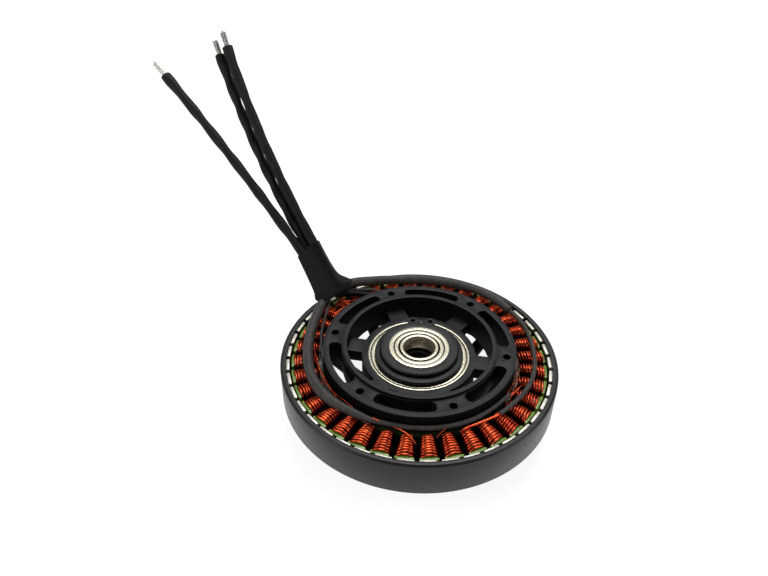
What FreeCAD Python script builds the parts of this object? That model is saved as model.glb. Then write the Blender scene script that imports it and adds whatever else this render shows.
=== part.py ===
"""Frameless direct drive motor: a wound stator on a slotted hub, inside a magnet ring on a dished spider.

The motor axis is Z. The origin is on that axis, at the rest face under the rotor's hub. Millimetres.
"""
import FreeCAD, Part
import math
import os
import re

import Sketcher

from FreeCAD import Placement, Rotation, Vector

doc = FreeCAD.newDocument("direct_drive_motor")

# Driving sizes: name, value in millimetres, degrees or pieces, and what it measures
SIZES = [
    ("ring_outer_radius", 43.8, "rotor ring, outside"),
    ("ring_wall", 1.8, "rotor ring, wall"),
    ("ring_height", 11.8, "rotor ring, along the axis"),
    ("ring_lift", 9.4, "rotor ring's lower edge above the rest face"),
    ("ring_chamfer", 0.5, "rotor ring, broken edge at its open end"),
    ("magnet_count", 42, "magnet bars round the ring"),
    ("magnet_thickness", 1.1, "magnet bar, radially"),
    ("magnet_pitch_ratio", 0.7625, "magnet bar round the ring, as a share of its pitch"),
    ("magnet_height", 8.4, "magnet bar, along the axis"),
    ("magnet_recess", 0.8, "magnet tops below the ring's top edge"),
    ("magnet_angle", 1.56, "first magnet from +X"),
    ("glue_gap", 0.03, "bond line of bonded pieces"),
    ("air_gap", 0.4, "magnet faces to pole shoes"),
    ("flange_thickness", 1.6, "spider's flange inside the ring"),
    ("spoke_count", 9, "spider's sloping spokes"),
    ("spoke_width", 4.0, "spider's spoke"),
    ("spoke_angle", 44.1, "first spoke from +X"),
    ("spider_rim", 11.3, "spider's flange from the ring to the windows"),
    ("spider_hub_rim", 1.0, "spider's hub outside the thin bearings, radially"),
    ("spider_hub_height", 3.0, "spider's hub, along the axis"),
    ("cone_landing", 0.6, "flat left outside the hub and windows where the cone starts and ends"),
    ("drive_hole_count", 3, "tapped holes for a wheel, in line with every third spoke"),
    ("drive_hole_radius", 1.65, "tapping size of the wheel's screws"),
    ("drive_hole_depth", 5.0, "depth of the wheel's screw holes"),
    ("tube_nose", 3.0, "rotor tube above the upper bearing"),
    ("tube_chamfer", 0.4, "rotor tube's top edge"),
    ("tube_shoulder", 1.0, "step on the rotor tube under the lower bearing"),
    ("tube_land", 1.1, "step in the tube's bore between the axle bearings"),
    ("thin_outer_radius", 16.0, "thin bearings, outside"),
    ("thin_depth", 3.5, "thin bearings, from the outside to the bore on the rotor tube"),
    ("thin_width", 4.0, "thin bearings, along the axis"),
    ("thin_race_wall", 1.1, "thin bearings' inner race, radially"),
    ("axle_radius", 5.0, "axle bearings' bore"),
    ("axle_outer_radius", 9.5, "axle bearings, outside"),
    ("axle_width", 5.0, "axle bearings, along the axis"),
    ("axle_race_wall", 1.45, "axle bearings' inner race, radially"),
    ("axle_recess", 0.4, "lower axle bearing above the rest face"),
    ("shield_gap", 0.05, "shields to the inner races"),
    ("fit_gap", 0.01, "seats and pressed rings, radially"),
    ("carrier_wall", 1.7, "stator hub's outer wall"),
    ("hub_deck", 25.6, "top of the stator hub's bolting face"),
    ("lip_height", 1.0, "locating lip above the bolting face"),
    ("lip_wall", 1.4, "locating lip, wall"),
    ("web_top", 21.6, "stator hub's web, top, level with the upper bearing"),
    ("boss_wall", 2.1, "stator hub's bearing boss round the thin bearings"),
    ("boss_bottom", 6.0, "stator hub's bearing boss, lower end"),
    ("boss_land", 0.8, "shoulders behind the outer races"),
    ("lower_bearing_inset", 0.4, "lower thin bearing above the boss's end"),
    ("hub_spoke_count", 6, "arms of the web, in line with the screw holes"),
    ("hub_spoke_width", 6.2, "arm of the web"),
    ("hub_angle", -7.0, "first arm and screw hole from +X"),
    ("slot_angle", 40.0, "arc slots in the bolting face, end to end"),
    ("slot_width", 3.9, "arc slots in the bolting face, radially"),
    ("slot_margin", 0.25, "ledges beside the arc slots, radially"),
    ("slot_corner", 1.0, "broken corners of the arc slots"),
    ("flange_hole_radius", 1.25, "tapping size of the bolting face's screws"),
    ("flange_hole_inset", 3.0, "bolting face's screws from the stator hub's outside"),
    ("carrier_skirt", 0.8, "stator hub's outer wall below the core"),
    ("stack_bottom", 13.6, "core's lower face above the rest face"),
    ("stack_height", 6.0, "core's laminations, along the axis"),
    ("yoke_width", 1.6, "core's yoke, radially"),
    ("tooth_count", 36, "core's teeth"),
    ("tooth_width", 2.6, "core's tooth"),
    ("shoe_pitch_ratio", 0.7568, "pole shoe round the core, as a share of its pitch"),
    ("shoe_thickness", 0.7, "pole shoe at its tips"),
    ("shoe_slope", 0.3, "rise of the pole shoe from tip to tooth"),
    ("core_angle", -3.43, "first tooth from +X"),
    ("coil_gap", 0.06, "coil to tooth"),
    ("coil_end_gap", 0.3, "coil to yoke and pole shoe"),
    ("coil_length", 6.781, "coil, radially"),
    ("coil_inner_width", 3.9, "coil at its yoke end"),
    ("coil_outer_width", 5.0, "coil at its shoe end"),
    ("coil_inner_rise", 1.6, "coil above the core at its yoke end"),
    ("coil_outer_rise", 1.5, "coil above the core at its shoe end"),
    ("coil_corner", 0.7, "broken long edges of the coil"),
    ("clip_thickness", 1.2, "circlip, along the axis"),
    ("clip_groove_depth", 0.55, "circlip's groove in the tube"),
    ("clip_band", 1.95, "circlip, radially, halfway round"),
    ("clip_offset", 0.55, "circlip's outside from the motor axis, away from its opening"),
    ("clip_lug_radius", 1.7, "circlip's lugs"),
    ("clip_lug_reach", 2.31, "middle of the circlip's lugs outside the tube"),
    ("clip_hole_radius", 0.8, "plier holes in the circlip's lugs"),
    ("clip_lug_angle", 11.2, "lugs to either side of the circlip's opening"),
    ("clip_opening", 2.4, "circlip's opening, across"),
    ("clip_angle", 89.0, "circlip's opening from +X"),
    ("clip_lift", 0.3, "circlip above the upper bearing's face"),
    ("spacer_wall", 1.1, "spacer between the axle bearings' inner races"),
    ("spacer_gap", 0.2, "spacer to the axle, radially"),
    ("lead_angle", 141.0, "where the phase leads leave the windings, from +X"),
    ("lead_diameter", 3.1, "sleeved phase lead"),
    ("tip_diameter", 1.7, "tinned end of a phase lead"),
    ("tip_length", 5.5, "tinned end of a phase lead, along it"),
    ("sleeve_diameter", 3.3, "fat sleeves on the windings"),
    ("thin_sleeve_diameter", 1.5, "thin sleeves on the windings"),
    ("wire_diameter", 0.8, "enamelled link wires on the windings"),
    ("harness_rest", 0.15, "sleeves above the coils"),
]

sheet = doc.addObject("Spreadsheet::Sheet", "dims")
for row, (name, number, meaning) in enumerate(SIZES, start=1):
    sheet.set(f"A{row}", meaning)
    sheet.set(f"B{row}", str(number))
    sheet.setAlias(f"B{row}", name)
doc.recompute()

# Sizes that follow from the driving ones, each written once
DERIVED = [
    ("ring_inner_radius", "ring_outer_radius - ring_wall"),
    ("ring_top", "ring_lift + ring_height"),
    ("magnet_top", "ring_top - magnet_recess"),
    ("magnet_bottom", "magnet_top - magnet_height"),
    ("magnet_width", "magnet_pitch_ratio * 2 * ring_inner_radius * tan(180 / magnet_count * 1 deg)"),
    ("magnet_back", "sqrt((ring_inner_radius - glue_gap) ^ 2 - (magnet_width / 2) ^ 2)"),
    ("magnet_face", "magnet_back - magnet_thickness"),
    ("flange_top", "ring_lift + flange_thickness"),
    ("flange_radius", "ring_inner_radius - glue_gap"),
    ("spider_window_radius", "ring_inner_radius - spider_rim"),
    ("spider_hub_radius", "thin_outer_radius + spider_hub_rim"),
    ("drive_circle_radius", "(axle_outer_radius + spider_hub_radius) / 2"),
    ("cone_foot_radius", "spider_hub_radius + cone_landing"),
    ("cone_head_radius", "spider_window_radius + cone_landing"),
    ("half_spoke_turn", "180 / spoke_count"),
    ("thin_bore_radius", "thin_outer_radius - thin_depth"),
    ("tube_radius", "thin_bore_radius - fit_gap"),
    ("tube_top", "web_top + tube_nose"),
    ("axle_seat_radius", "axle_outer_radius + fit_gap"),
    ("axle_land_radius", "axle_outer_radius - tube_land"),
    ("axle_lower_top", "axle_recess + axle_width"),
    ("axle_upper_bottom", "tube_top - axle_width"),
    ("thin_upper_bottom", "web_top - thin_width"),
    ("thin_lower_bottom", "boss_bottom + lower_bearing_inset"),
    ("thin_lower_top", "thin_lower_bottom + thin_width"),
    ("shoulder_radius", "thin_bore_radius + tube_shoulder"),
    ("clip_bottom", "web_top + clip_lift"),
    ("clip_top", "clip_bottom + clip_thickness"),
    ("clip_groove_radius", "tube_radius - clip_groove_depth"),
    ("clip_lug_circle", "tube_radius + clip_lug_reach"),
    ("boss_radius", "thin_outer_radius + boss_wall"),
    ("boss_seat_radius", "thin_outer_radius + fit_gap"),
    ("boss_land_radius", "thin_outer_radius - boss_land"),
    ("web_bottom", "web_top - thin_width"),
    ("core_outer_radius", "magnet_face - air_gap"),
    ("shoe_width", "shoe_pitch_ratio * 2 * magnet_face * tan(180 / tooth_count * 1 deg)"),
    ("shoe_edge", "sqrt(core_outer_radius ^ 2 - (shoe_width / 2) ^ 2)"),
    ("shoe_back", "shoe_edge - shoe_thickness"),
    ("shoe_root", "shoe_back - shoe_slope"),
    ("coil_outer_radius", "shoe_root - coil_end_gap"),
    ("coil_inner_radius", "coil_outer_radius - coil_length"),
    ("yoke_outer_radius", "coil_inner_radius - coil_end_gap"),
    ("yoke_inner_radius", "yoke_outer_radius - yoke_width"),
    ("carrier_radius", "yoke_inner_radius - glue_gap"),
    ("wall_inner_radius", "carrier_radius - carrier_wall"),
    ("slot_outer_radius", "wall_inner_radius - slot_margin"),
    ("slot_inner_radius", "slot_outer_radius - slot_width"),
    ("lip_outer_radius", "slot_inner_radius - slot_margin"),
    ("lip_inner_radius", "lip_outer_radius - lip_wall"),
    ("flange_circle_radius", "carrier_radius - flange_hole_inset"),
    ("lip_top", "hub_deck + lip_height"),
    ("skirt_bottom", "stack_bottom - carrier_skirt"),
    ("half_hub_turn", "180 / hub_spoke_count"),
    ("stack_top", "stack_bottom + stack_height"),
    ("windings_top", "stack_top + coil_outer_rise"),
]

derived = doc.addObject("App::VarSet", "derived")
cell_names = {name for name, number, meaning in SIZES}
derived_names = {name for name, formula in DERIVED}


def bound(text):
    """Return the expression text with every named size tied to its cell or derived value."""
    def tie(match):
        word = match.group(0)
        if word in cell_names:
            return "dims." + word
        if word in derived_names:
            return "derived." + word
        return word
    return re.sub(r"[a-z]+(?:_[a-z]+)*", tie, text)


for name, formula in DERIVED:
    derived.addProperty("App::PropertyFloat", name)
    derived.setExpression(name, bound(formula))
reckoner = doc.addObject("App::VarSet", "reckoner")
reckoner.addProperty("App::PropertyFloat", "result")
doc.recompute()


def value(text):
    """Return the number that an expression of named sizes stands for."""
    reckoner.setExpression("result", bound(text))
    reckoner.recompute()
    return reckoner.result


def origin_feature(body, role):
    """Return one of a body's own origin planes or axes."""
    return next(item for item in body.Origin.OriginFeatures if item.Role == role)


def sketch_on(body, name, role, offset=None):
    """Add a sketch on an origin plane of the body, lifted along the plane's normal by an expression."""
    sketch = body.newObject("Sketcher::SketchObject", name)
    sketch.AttachmentSupport = [(origin_feature(body, role), "")]
    sketch.MapMode = "FlatFace"
    if offset:
        sketch.setExpression("AttachmentOffset.Base.z", bound(offset))
    doc.recompute()
    return sketch


def tie_corner(sketch, geometry, end, x_text, y_text):
    """Hold one end of an edge at a place given by two expressions, either of which may be left free."""
    for kind, axis, text in (("DistanceX", -2, x_text), ("DistanceY", -1, y_text)):
        if text is None:
            continue
        if text == "0":
            sketch.addConstraint(Sketcher.Constraint("PointOnObject", geometry, end, axis))
            continue
        place = Sketcher.Constraint(kind, -1, 1, geometry, end, value(text))
        index = sketch.addConstraint(place)
        sketch.setExpression(f"Constraints[{index}]", bound(text))


def outline(sketch, corners, arcs=()):
    """Draw a closed outline through the corners. Edges numbered in arcs bend round the sketch's origin."""
    points = [Vector(value(x_text), value(y_text), 0) for x_text, y_text in corners]
    count = len(points)
    ends = []
    for edge in range(count):
        start, stop = points[edge], points[(edge + 1) % count]
        if edge in arcs:
            turns = [math.atan2(point.y, point.x) for point in (start, stop)]
            forward = turns[1] > turns[0]
            circle = Part.Circle(Vector(0, 0, 0), Vector(0, 0, 1), start.Length)
            sketch.addGeometry(Part.ArcOfCircle(circle, min(turns), max(turns)), False)
            sketch.addConstraint(Sketcher.Constraint("Coincident", edge, 3, -1, 1))
            ends.append((1, 2) if forward else (2, 1))
        else:
            sketch.addGeometry(Part.LineSegment(start, stop), False)
            ends.append((1, 2))
    for edge in range(count):
        following = (edge + 1) % count
        sketch.addConstraint(
            Sketcher.Constraint("Coincident", edge, ends[edge][1], following, ends[following][0]))
        x_text, y_text = corners[edge]
        after_arc = (edge - 1) % count in arcs
        tie_corner(sketch, edge, ends[edge][0], None if after_arc else x_text, y_text)
    doc.recompute()


def circle_at(sketch, x_text, y_text, radius_text):
    """Draw a circle whose centre and radius follow expressions."""
    centre = Vector(value(x_text), value(y_text), 0)
    index = sketch.addGeometry(Part.Circle(centre, Vector(0, 0, 1), value(radius_text)), False)
    tie_corner(sketch, index, 3, x_text, y_text)
    radius = sketch.addConstraint(Sketcher.Constraint("Radius", index, value(radius_text)))
    sketch.setExpression(f"Constraints[{radius}]", bound(radius_text))
    doc.recompute()


def new_body(label):
    """Start a sub-part that is made of sketched features."""
    body = doc.addObject("PartDesign::Body", label)
    body.Label = label
    return body


def turned(body, name, corners):
    """Turn a half section, given as radius and height, about the motor axis."""
    sketch = sketch_on(body, name + "_section", "XZ_Plane")
    outline(sketch, corners)
    feature = body.newObject("PartDesign::Revolution", name)
    feature.Profile = sketch
    feature.ReferenceAxis = (sketch, ["V_Axis"])
    feature.Angle = 360
    doc.recompute()
    return feature


def pocket_through(body, name, sketch):
    """Cut a sketch through the whole body, both ways from its plane."""
    feature = body.newObject("PartDesign::Pocket", name)
    feature.Profile = sketch
    feature.Type = "ThroughAll"
    feature.Midplane = True
    doc.recompute()
    return feature


def pocket_up(body, name, sketch, depth_text):
    """Cut a sketch to a depth, upwards from its plane."""
    feature = body.newObject("PartDesign::Pocket", name)
    feature.Profile = sketch
    feature.setExpression("Length", bound(depth_text))
    feature.Reversed = True
    doc.recompute()
    return feature


def padded(body, name, sketch, length_text):
    """Raise a sketch from its plane."""
    feature = body.newObject("PartDesign::Pad", name)
    feature.Profile = sketch
    feature.setExpression("Length", bound(length_text))
    doc.recompute()
    return feature


def repeated(body, name, feature, count_text):
    """Repeat a feature round the motor axis."""
    pattern = body.newObject("PartDesign::PolarPattern", name)
    pattern.Originals = [feature]
    pattern.Axis = (origin_feature(body, "Z_Axis"), [""])
    pattern.Angle = 360
    pattern.setExpression("Occurrences", bound(count_text))
    body.Tip = pattern
    doc.recompute()
    return pattern


def spun_to(item, angle_text):
    """Turn a finished sub-part about the motor axis."""
    item.Placement = Placement(Vector(0, 0, 0), Rotation(Vector(0, 0, 1), 1))
    item.setExpression("Placement.Rotation.Angle", bound(angle_text))
    doc.recompute()


def window_corners(inner_text, outer_text, half_turn_text, arm_text):
    """Return the corners of a window between two arms of even width, about +X."""
    def corner(radius_text, side):
        along = f"sqrt({radius_text} ^ 2 - ({arm_text} / 2) ^ 2)"
        half = f"({half_turn_text} * 1 deg)"
        x_text = f"{along} * cos({half}) + {arm_text} / 2 * sin({half})"
        y_text = f"{side} * ({along} * sin({half}) - {arm_text} / 2 * cos({half}))"
        return x_text, y_text
    return [corner(inner_text, -1), corner(outer_text, -1), corner(outer_text, 1), corner(inner_text, 1)]


def made_of(label, shape):
    """Keep a finished shape as a sub-part of its own."""
    item = doc.addObject("Part::Feature", label)
    item.Label = label
    item.Shape = shape
    return item


def ring_copies(shape, turns):
    """Return copies of a shape, turned about the motor axis by the given degrees."""
    copies = []
    for turn in turns:
        copy = shape.copy()
        copy.rotate(Vector(0, 0, 0), Vector(0, 0, 1), turn)
        copies.append(copy)
    return Part.makeCompound(copies)


def make_rotor_ring():
    """Steel flux ring, its outer wall bare and its open edge broken."""
    body = new_body("rotor_ring")
    turned(body, "ring_wall_turned", [
        ("ring_inner_radius", "ring_lift"),
        ("ring_outer_radius", "ring_lift"),
        ("ring_outer_radius", "ring_top - ring_chamfer"),
        ("ring_outer_radius - ring_chamfer", "ring_top"),
        ("ring_inner_radius", "ring_top"),
    ])
    return body


def make_magnets():
    """Flat magnet bars bonded inside the ring."""
    body = new_body("rotor_magnets")
    sketch = sketch_on(body, "magnet_section", "XY_Plane", "magnet_bottom")
    outline(sketch, [
        ("magnet_face", "-magnet_width / 2"),
        ("magnet_back", "-magnet_width / 2"),
        ("magnet_back", "magnet_width / 2"),
        ("magnet_face", "magnet_width / 2"),
    ])
    bar = padded(body, "magnet_bar", sketch, "magnet_height")
    repeated(body, "magnet_row", bar, "magnet_count")
    spun_to(body, "magnet_angle")
    return body


def make_rotor_spider():
    """Dished spider: flange in the ring, sloping spokes, hub on the rest face and the tube in the middle."""
    body = new_body("rotor_spider")
    turned(body, "spider_turned", [
        ("axle_seat_radius", "0"),
        ("spider_hub_radius", "0"),
        ("cone_head_radius", "ring_lift"),
        ("flange_radius", "ring_lift"),
        ("flange_radius", "flange_top"),
        ("cone_head_radius", "flange_top"),
        ("cone_foot_radius", "spider_hub_height"),
        ("shoulder_radius", "spider_hub_height"),
        ("shoulder_radius", "thin_lower_bottom"),
        ("tube_radius", "thin_lower_bottom"),
        ("tube_radius", "clip_bottom"),
        ("clip_groove_radius", "clip_bottom"),
        ("clip_groove_radius", "clip_top"),
        ("tube_radius", "clip_top"),
        ("tube_radius", "tube_top - tube_chamfer"),
        ("tube_radius - tube_chamfer", "tube_top"),
        ("axle_seat_radius", "tube_top"),
        ("axle_seat_radius", "axle_upper_bottom"),
        ("axle_land_radius", "axle_upper_bottom"),
        ("axle_land_radius", "axle_lower_top"),
        ("axle_seat_radius", "axle_lower_top"),
    ])
    holes = sketch_on(body, "drive_hole_plan", "XY_Plane")
    spoke = "(half_spoke_turn * 1 deg)"
    circle_at(holes, f"drive_circle_radius * cos({spoke})", f"drive_circle_radius * sin({spoke})",
              "drive_hole_radius")
    hole = pocket_up(body, "drive_hole", holes, "drive_hole_depth")
    repeated(body, "drive_holes", hole, "drive_hole_count")
    plan = sketch_on(body, "spider_window_plan", "XY_Plane")
    corners = window_corners("cone_foot_radius", "spider_window_radius", "half_spoke_turn", "spoke_width")
    outline(plan, corners, arcs=(1, 3))
    window = pocket_through(body, "spider_window", plan)
    repeated(body, "spider_windows", window, "spoke_count")
    spun_to(body, "spoke_angle + half_spoke_turn")
    return body


def make_stator_hub():
    """Hub that bolts to the frame: bolting face with arc slots, locating lip, spoked web and bearing boss."""
    body = new_body("stator_hub")
    turned(body, "hub_turned", [
        ("boss_seat_radius", "boss_bottom"),
        ("boss_radius", "boss_bottom"),
        ("boss_radius", "web_bottom"),
        ("wall_inner_radius", "web_bottom"),
        ("wall_inner_radius", "skirt_bottom"),
        ("carrier_radius", "skirt_bottom"),
        ("carrier_radius", "hub_deck"),
        ("lip_outer_radius", "hub_deck"),
        ("lip_outer_radius", "lip_top"),
        ("lip_inner_radius", "lip_top"),
        ("lip_inner_radius", "web_top"),
        ("boss_seat_radius", "web_top"),
        ("boss_seat_radius", "web_bottom"),
        ("boss_land_radius", "web_bottom"),
        ("boss_land_radius", "thin_lower_top"),
        ("boss_seat_radius", "thin_lower_top"),
    ])
    plan = sketch_on(body, "web_window_plan", "XY_Plane")
    outline(plan, window_corners("boss_radius", "lip_inner_radius", "half_hub_turn", "hub_spoke_width"),
            arcs=(1, 3))
    window = pocket_through(body, "web_window", plan)
    repeated(body, "web_windows", window, "hub_spoke_count")
    slot_plan = sketch_on(body, "arc_slot_plan", "XY_Plane")
    half = "(slot_angle / 2 * 1 deg)"
    outline(slot_plan, [
        (f"slot_inner_radius * cos({half})", f"-slot_inner_radius * sin({half})"),
        (f"slot_outer_radius * cos({half})", f"-slot_outer_radius * sin({half})"),
        (f"slot_outer_radius * cos({half})", f"slot_outer_radius * sin({half})"),
        (f"slot_inner_radius * cos({half})", f"slot_inner_radius * sin({half})"),
    ], arcs=(1, 3))
    slot = pocket_through(body, "arc_slot", slot_plan)
    slots = repeated(body, "arc_slots", slot, "hub_spoke_count")
    break_slot_corners(body, slots)
    hole_plan = sketch_on(body, "flange_hole_plan", "XY_Plane", "hub_deck")
    turn = "(half_hub_turn * 1 deg)"
    circle_at(hole_plan, f"flange_circle_radius * cos({turn})", f"flange_circle_radius * sin({turn})",
              "flange_hole_radius")
    hole = pocket_through(body, "flange_hole", hole_plan)
    repeated(body, "flange_holes", hole, "hub_spoke_count")
    spun_to(body, "hub_angle + half_hub_turn")
    return body


def break_slot_corners(body, slots):
    """Break the upright corners of the arc slots."""
    limits = (value("slot_inner_radius"), value("slot_outer_radius"))
    corners = []
    for number, edge in enumerate(slots.Shape.Edges, start=1):
        first, last = edge.Vertexes[0].Point, edge.Vertexes[-1].Point
        upright = math.hypot(first.x - last.x, first.y - last.y) < 1e-6 < abs(first.z - last.z)
        radius = math.hypot(first.x, first.y)
        if upright and min(abs(radius - limit) for limit in limits) < 1e-6:
            corners.append(f"Edge{number}")
    broken = body.newObject("PartDesign::Chamfer", "slot_corners")
    broken.Base = (slots, corners)
    broken.setExpression("Size", bound("slot_corner"))
    body.Tip = broken
    doc.recompute()


def make_stator_core():
    """Laminated core: a yoke ring with shoe-tipped teeth."""
    body = new_body("stator_core")
    yoke_plan = sketch_on(body, "yoke_plan", "XY_Plane", "stack_bottom")
    circle_at(yoke_plan, "0", "0", "yoke_outer_radius")
    circle_at(yoke_plan, "0", "0", "yoke_inner_radius")
    padded(body, "yoke", yoke_plan, "stack_height")
    tooth_plan = sketch_on(body, "tooth_plan", "XY_Plane", "stack_bottom")
    root = "yoke_inner_radius + yoke_width / 2"
    outline(tooth_plan, [
        (root, "-tooth_width / 2"),
        ("shoe_root", "-tooth_width / 2"),
        ("shoe_back", "-shoe_width / 2"),
        ("shoe_edge", "-shoe_width / 2"),
        ("shoe_edge", "shoe_width / 2"),
        ("shoe_back", "shoe_width / 2"),
        ("shoe_root", "tooth_width / 2"),
        (root, "tooth_width / 2"),
    ], arcs=(3,))
    tooth = padded(body, "tooth", tooth_plan, "stack_height")
    repeated(body, "teeth", tooth, "tooth_count")
    spun_to(body, "core_angle")
    return body


def coil_corners(radius_text, width_text, rise_text):
    """Return a coil's corners, broken, where it crosses a given radius on the +X tooth."""
    radius, side = value(radius_text), value(width_text) / 2
    bottom, top = value(f"stack_bottom - {rise_text}"), value(f"stack_top + {rise_text}")
    cut = value("coil_corner")
    corners = [(cut - side, bottom), (side - cut, bottom), (side, bottom + cut), (side, top - cut),
               (side - cut, top), (cut - side, top), (-side, top - cut), (-side, bottom + cut)]
    return [Vector(radius, across, height) for across, height in corners]


def flat_face(points):
    """Return the flat face with the given corners."""
    return Part.Face(Part.makePolygon(points + points[:1]))


def make_coil():
    """Return one wedge-shaped coil, open in the middle for its tooth on +X."""
    inner = coil_corners("coil_inner_radius", "coil_inner_width", "coil_inner_rise")
    outer = coil_corners("coil_outer_radius", "coil_outer_width", "coil_outer_rise")
    sides = [flat_face([inner[step - 1], inner[step], outer[step], outer[step - 1]])
             for step in range(len(inner))]
    block = Part.Solid(Part.Shell([flat_face(inner), flat_face(outer)] + sides))
    gap = value("coil_gap")
    length = value("coil_length")
    width, height = value("tooth_width") + 2 * gap, value("stack_height") + 2 * gap
    corner = Vector(value("coil_inner_radius") - length, -width / 2, value("stack_bottom") - gap)
    opening = Part.makeBox(3 * length, width, height, corner)
    return block.cut(opening)


def make_phase_coils():
    """Three phases, each on pairs of neighbouring teeth, six teeth apart."""
    coil = make_coil()
    pitch = 360 / value("tooth_count")
    groups = []
    for phase, label in enumerate(("phase_a_coils", "phase_b_coils", "phase_c_coils")):
        turns = [value("core_angle") + pitch * tooth for tooth in range(int(value("tooth_count")))
                 if tooth % 6 // 2 == phase]
        groups.append(made_of(label, ring_copies(coil, turns)))
    return groups


def make_washer(label, bore_text, outer_text, bottom_text, thickness_text):
    """Turn a plain ring or sleeve."""
    body = new_body(label)
    turned(body, label + "_turned", [
        (bore_text, bottom_text),
        (outer_text, bottom_text),
        (outer_text, f"{bottom_text} + {thickness_text}"),
        (bore_text, f"{bottom_text} + {thickness_text}"),
    ])
    return body


def make_bearing(label, bore_text, kind, bottom_text):
    """Shielded ball bearing: inner race, and the outer race closed by its shields."""
    race_text, width_text = f"{bore_text} + {kind}_race_wall", f"{kind}_width"
    return [
        make_washer(label + "_inner_race", bore_text, race_text, bottom_text, width_text),
        make_washer(label + "_outer_race", f"{race_text} + shield_gap", f"{kind}_outer_radius", bottom_text,
                    width_text),
    ]


def clip_disc(name, radius_text, circle_text, angle_text):
    """Return a disc as thick as the circlip, on a circle about the motor axis."""
    disc = doc.addObject("Part::Cylinder", name)
    turn = f"(({angle_text}) * 1 deg)"
    disc.setExpression("Radius", bound(radius_text))
    disc.setExpression("Height", bound("clip_thickness"))
    disc.setExpression("Placement.Base.x", bound(f"{circle_text} * cos({turn})"))
    disc.setExpression("Placement.Base.y", bound(f"{circle_text} * sin({turn})"))
    disc.setExpression("Placement.Base.z", bound("clip_bottom"))
    return disc


def make_circlip():
    """Open ring in the tube's groove, narrower towards its opening, with two lugs that have plier holes."""
    band = clip_disc("clip_band_disc", "clip_groove_radius + clip_band", "-clip_offset", "clip_angle")
    bore = clip_disc("clip_bore", "clip_groove_radius + glue_gap", "0", "clip_angle")
    opening = doc.addObject("Part::Box", "clip_gap")
    opening.setExpression("Length", bound("clip_lug_circle"))
    opening.setExpression("Width", bound("clip_opening"))
    opening.setExpression("Height", bound("clip_thickness"))
    opening.Placement = Placement(Vector(0, 0, 0), Rotation(Vector(0, 0, 1), 1))
    opening.setExpression("Placement.Rotation.Angle", bound("clip_angle"))
    opening.setExpression("Placement.Base.x", bound("clip_opening / 2 * sin(clip_angle * 1 deg)"))
    opening.setExpression("Placement.Base.y", bound("-clip_opening / 2 * cos(clip_angle * 1 deg)"))
    opening.setExpression("Placement.Base.z", bound("clip_bottom"))
    lugs, holes = [], []
    for side, name in ((-1, "right"), (1, "left")):
        angle_text = f"clip_angle + {side} * clip_lug_angle"
        lugs.append(clip_disc(f"clip_lug_{name}", "clip_lug_radius", "clip_lug_circle", angle_text))
        holes.append(clip_disc(f"clip_hole_{name}", "clip_hole_radius", "clip_lug_circle", angle_text))
    solid = doc.addObject("Part::MultiFuse", "clip_solid")
    solid.Shapes = [band] + lugs
    removed = doc.addObject("Part::MultiFuse", "clip_removed")
    removed.Shapes = [bore, opening] + holes
    clip = doc.addObject("Part::Cut", "circlip")
    clip.Label = "circlip"
    clip.Base = solid
    clip.Tool = removed
    doc.recompute()
    return clip


# Sides of a cord's section, and the share of a straight run that an arc takes at either end
CORD_SIDES = 8
ARC_SHARE = 0.45


def rounded_route(points):
    """Return a wire of straight runs joined by large tangent arcs, and the radii of those arcs."""
    edges, radii = [], []
    here = points[0]
    for index in range(1, len(points) - 1):
        before, corner, after = points[index - 1], points[index], points[index + 1]
        incoming, outgoing = corner - before, after - corner
        reach = ARC_SHARE * min(incoming.Length, outgoing.Length)
        turn = incoming.getAngle(outgoing)
        radii.append(reach / math.tan(turn / 2))
        way_in, way_out = incoming.normalize(), outgoing.normalize()
        start, stop = corner - way_in * reach, corner + way_out * reach
        bisector = (way_out - way_in).normalize()
        middle = corner + bisector * (reach * math.tan(turn / 4))
        edges.append(Part.LineSegment(here, start).toShape())
        edges.append(Part.Arc(start, middle, stop).toShape())
        here = stop
    edges.append(Part.LineSegment(here, points[-1]).toShape())
    return Part.Wire(edges), radii


def cord_section(centre, way, diameter):
    """Return an eight-sided wire with the area of a round cord, square to the way the cord runs."""
    turn = 2 * math.pi / CORD_SIDES
    corner_radius = diameter / 2 * math.sqrt(2 * math.pi / (CORD_SIDES * math.sin(turn)))
    facing = Rotation(Vector(0, 0, 1), way)
    points = [centre + facing.multVec(Vector(math.cos(step * turn), math.sin(step * turn), 0) * corner_radius)
              for step in range(CORD_SIDES)]
    return Part.makePolygon(points + points[:1])


def make_tube(label, points, diameter):
    """Sweep a cord along its route, print its bends and compare its volume with section times length."""
    wire, radii = rounded_route(points)
    section = cord_section(points[0], (points[1] - points[0]).normalize(), diameter)
    tube = wire.makePipeShell([section], True, False)
    expected = math.pi * diameter ** 2 / 4 * wire.Length
    print(f"{label}: length {wire.Length:.1f}, tightest bend {min(radii):.1f}, "
          f"volume {tube.Volume / expected:.4f} of section times length")
    return made_of(label, tube)


# Routes of the free phase leads, from where they leave the windings
LEAD_ROUTES = {
    "phase_lead_left": [(-13.0, 10.0, 12.3), (-40.3, 31.0, 39.9), (-65.9, 49.6, 59.5)],
    "phase_lead_middle": [(-10.6, 12.2, 12.9), (-23.0, 24.6, 27.4), (-39.3, 44.9, 50.5), (-47.4, 57.1, 64.9)],
    "phase_lead_right": [(-7.8, 12.5, 15.2), (-29.8, 32.9, 42.3), (-44.2, 56.7, 68.1)],
}

# Collar from the windings to the leads: centre of each section, width and thickness
COLLAR_SECTIONS = [
    ((-0.3, 0.6, 2.6), 6.2, 2.0),
    ((-1.0, 1.3, 4.2), 13.2, 2.6),
    ((-3.2, 2.7, 6.0), 10.3, 4.2),
    ((-10.4, 11.4, 13.2), 10.0, 5.0),
]
COLLAR_AXIS = Vector(-0.59, 0.48, 0.66)
COLLAR_ACROSS = Vector(0.81, 0.39, 0.44)

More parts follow.
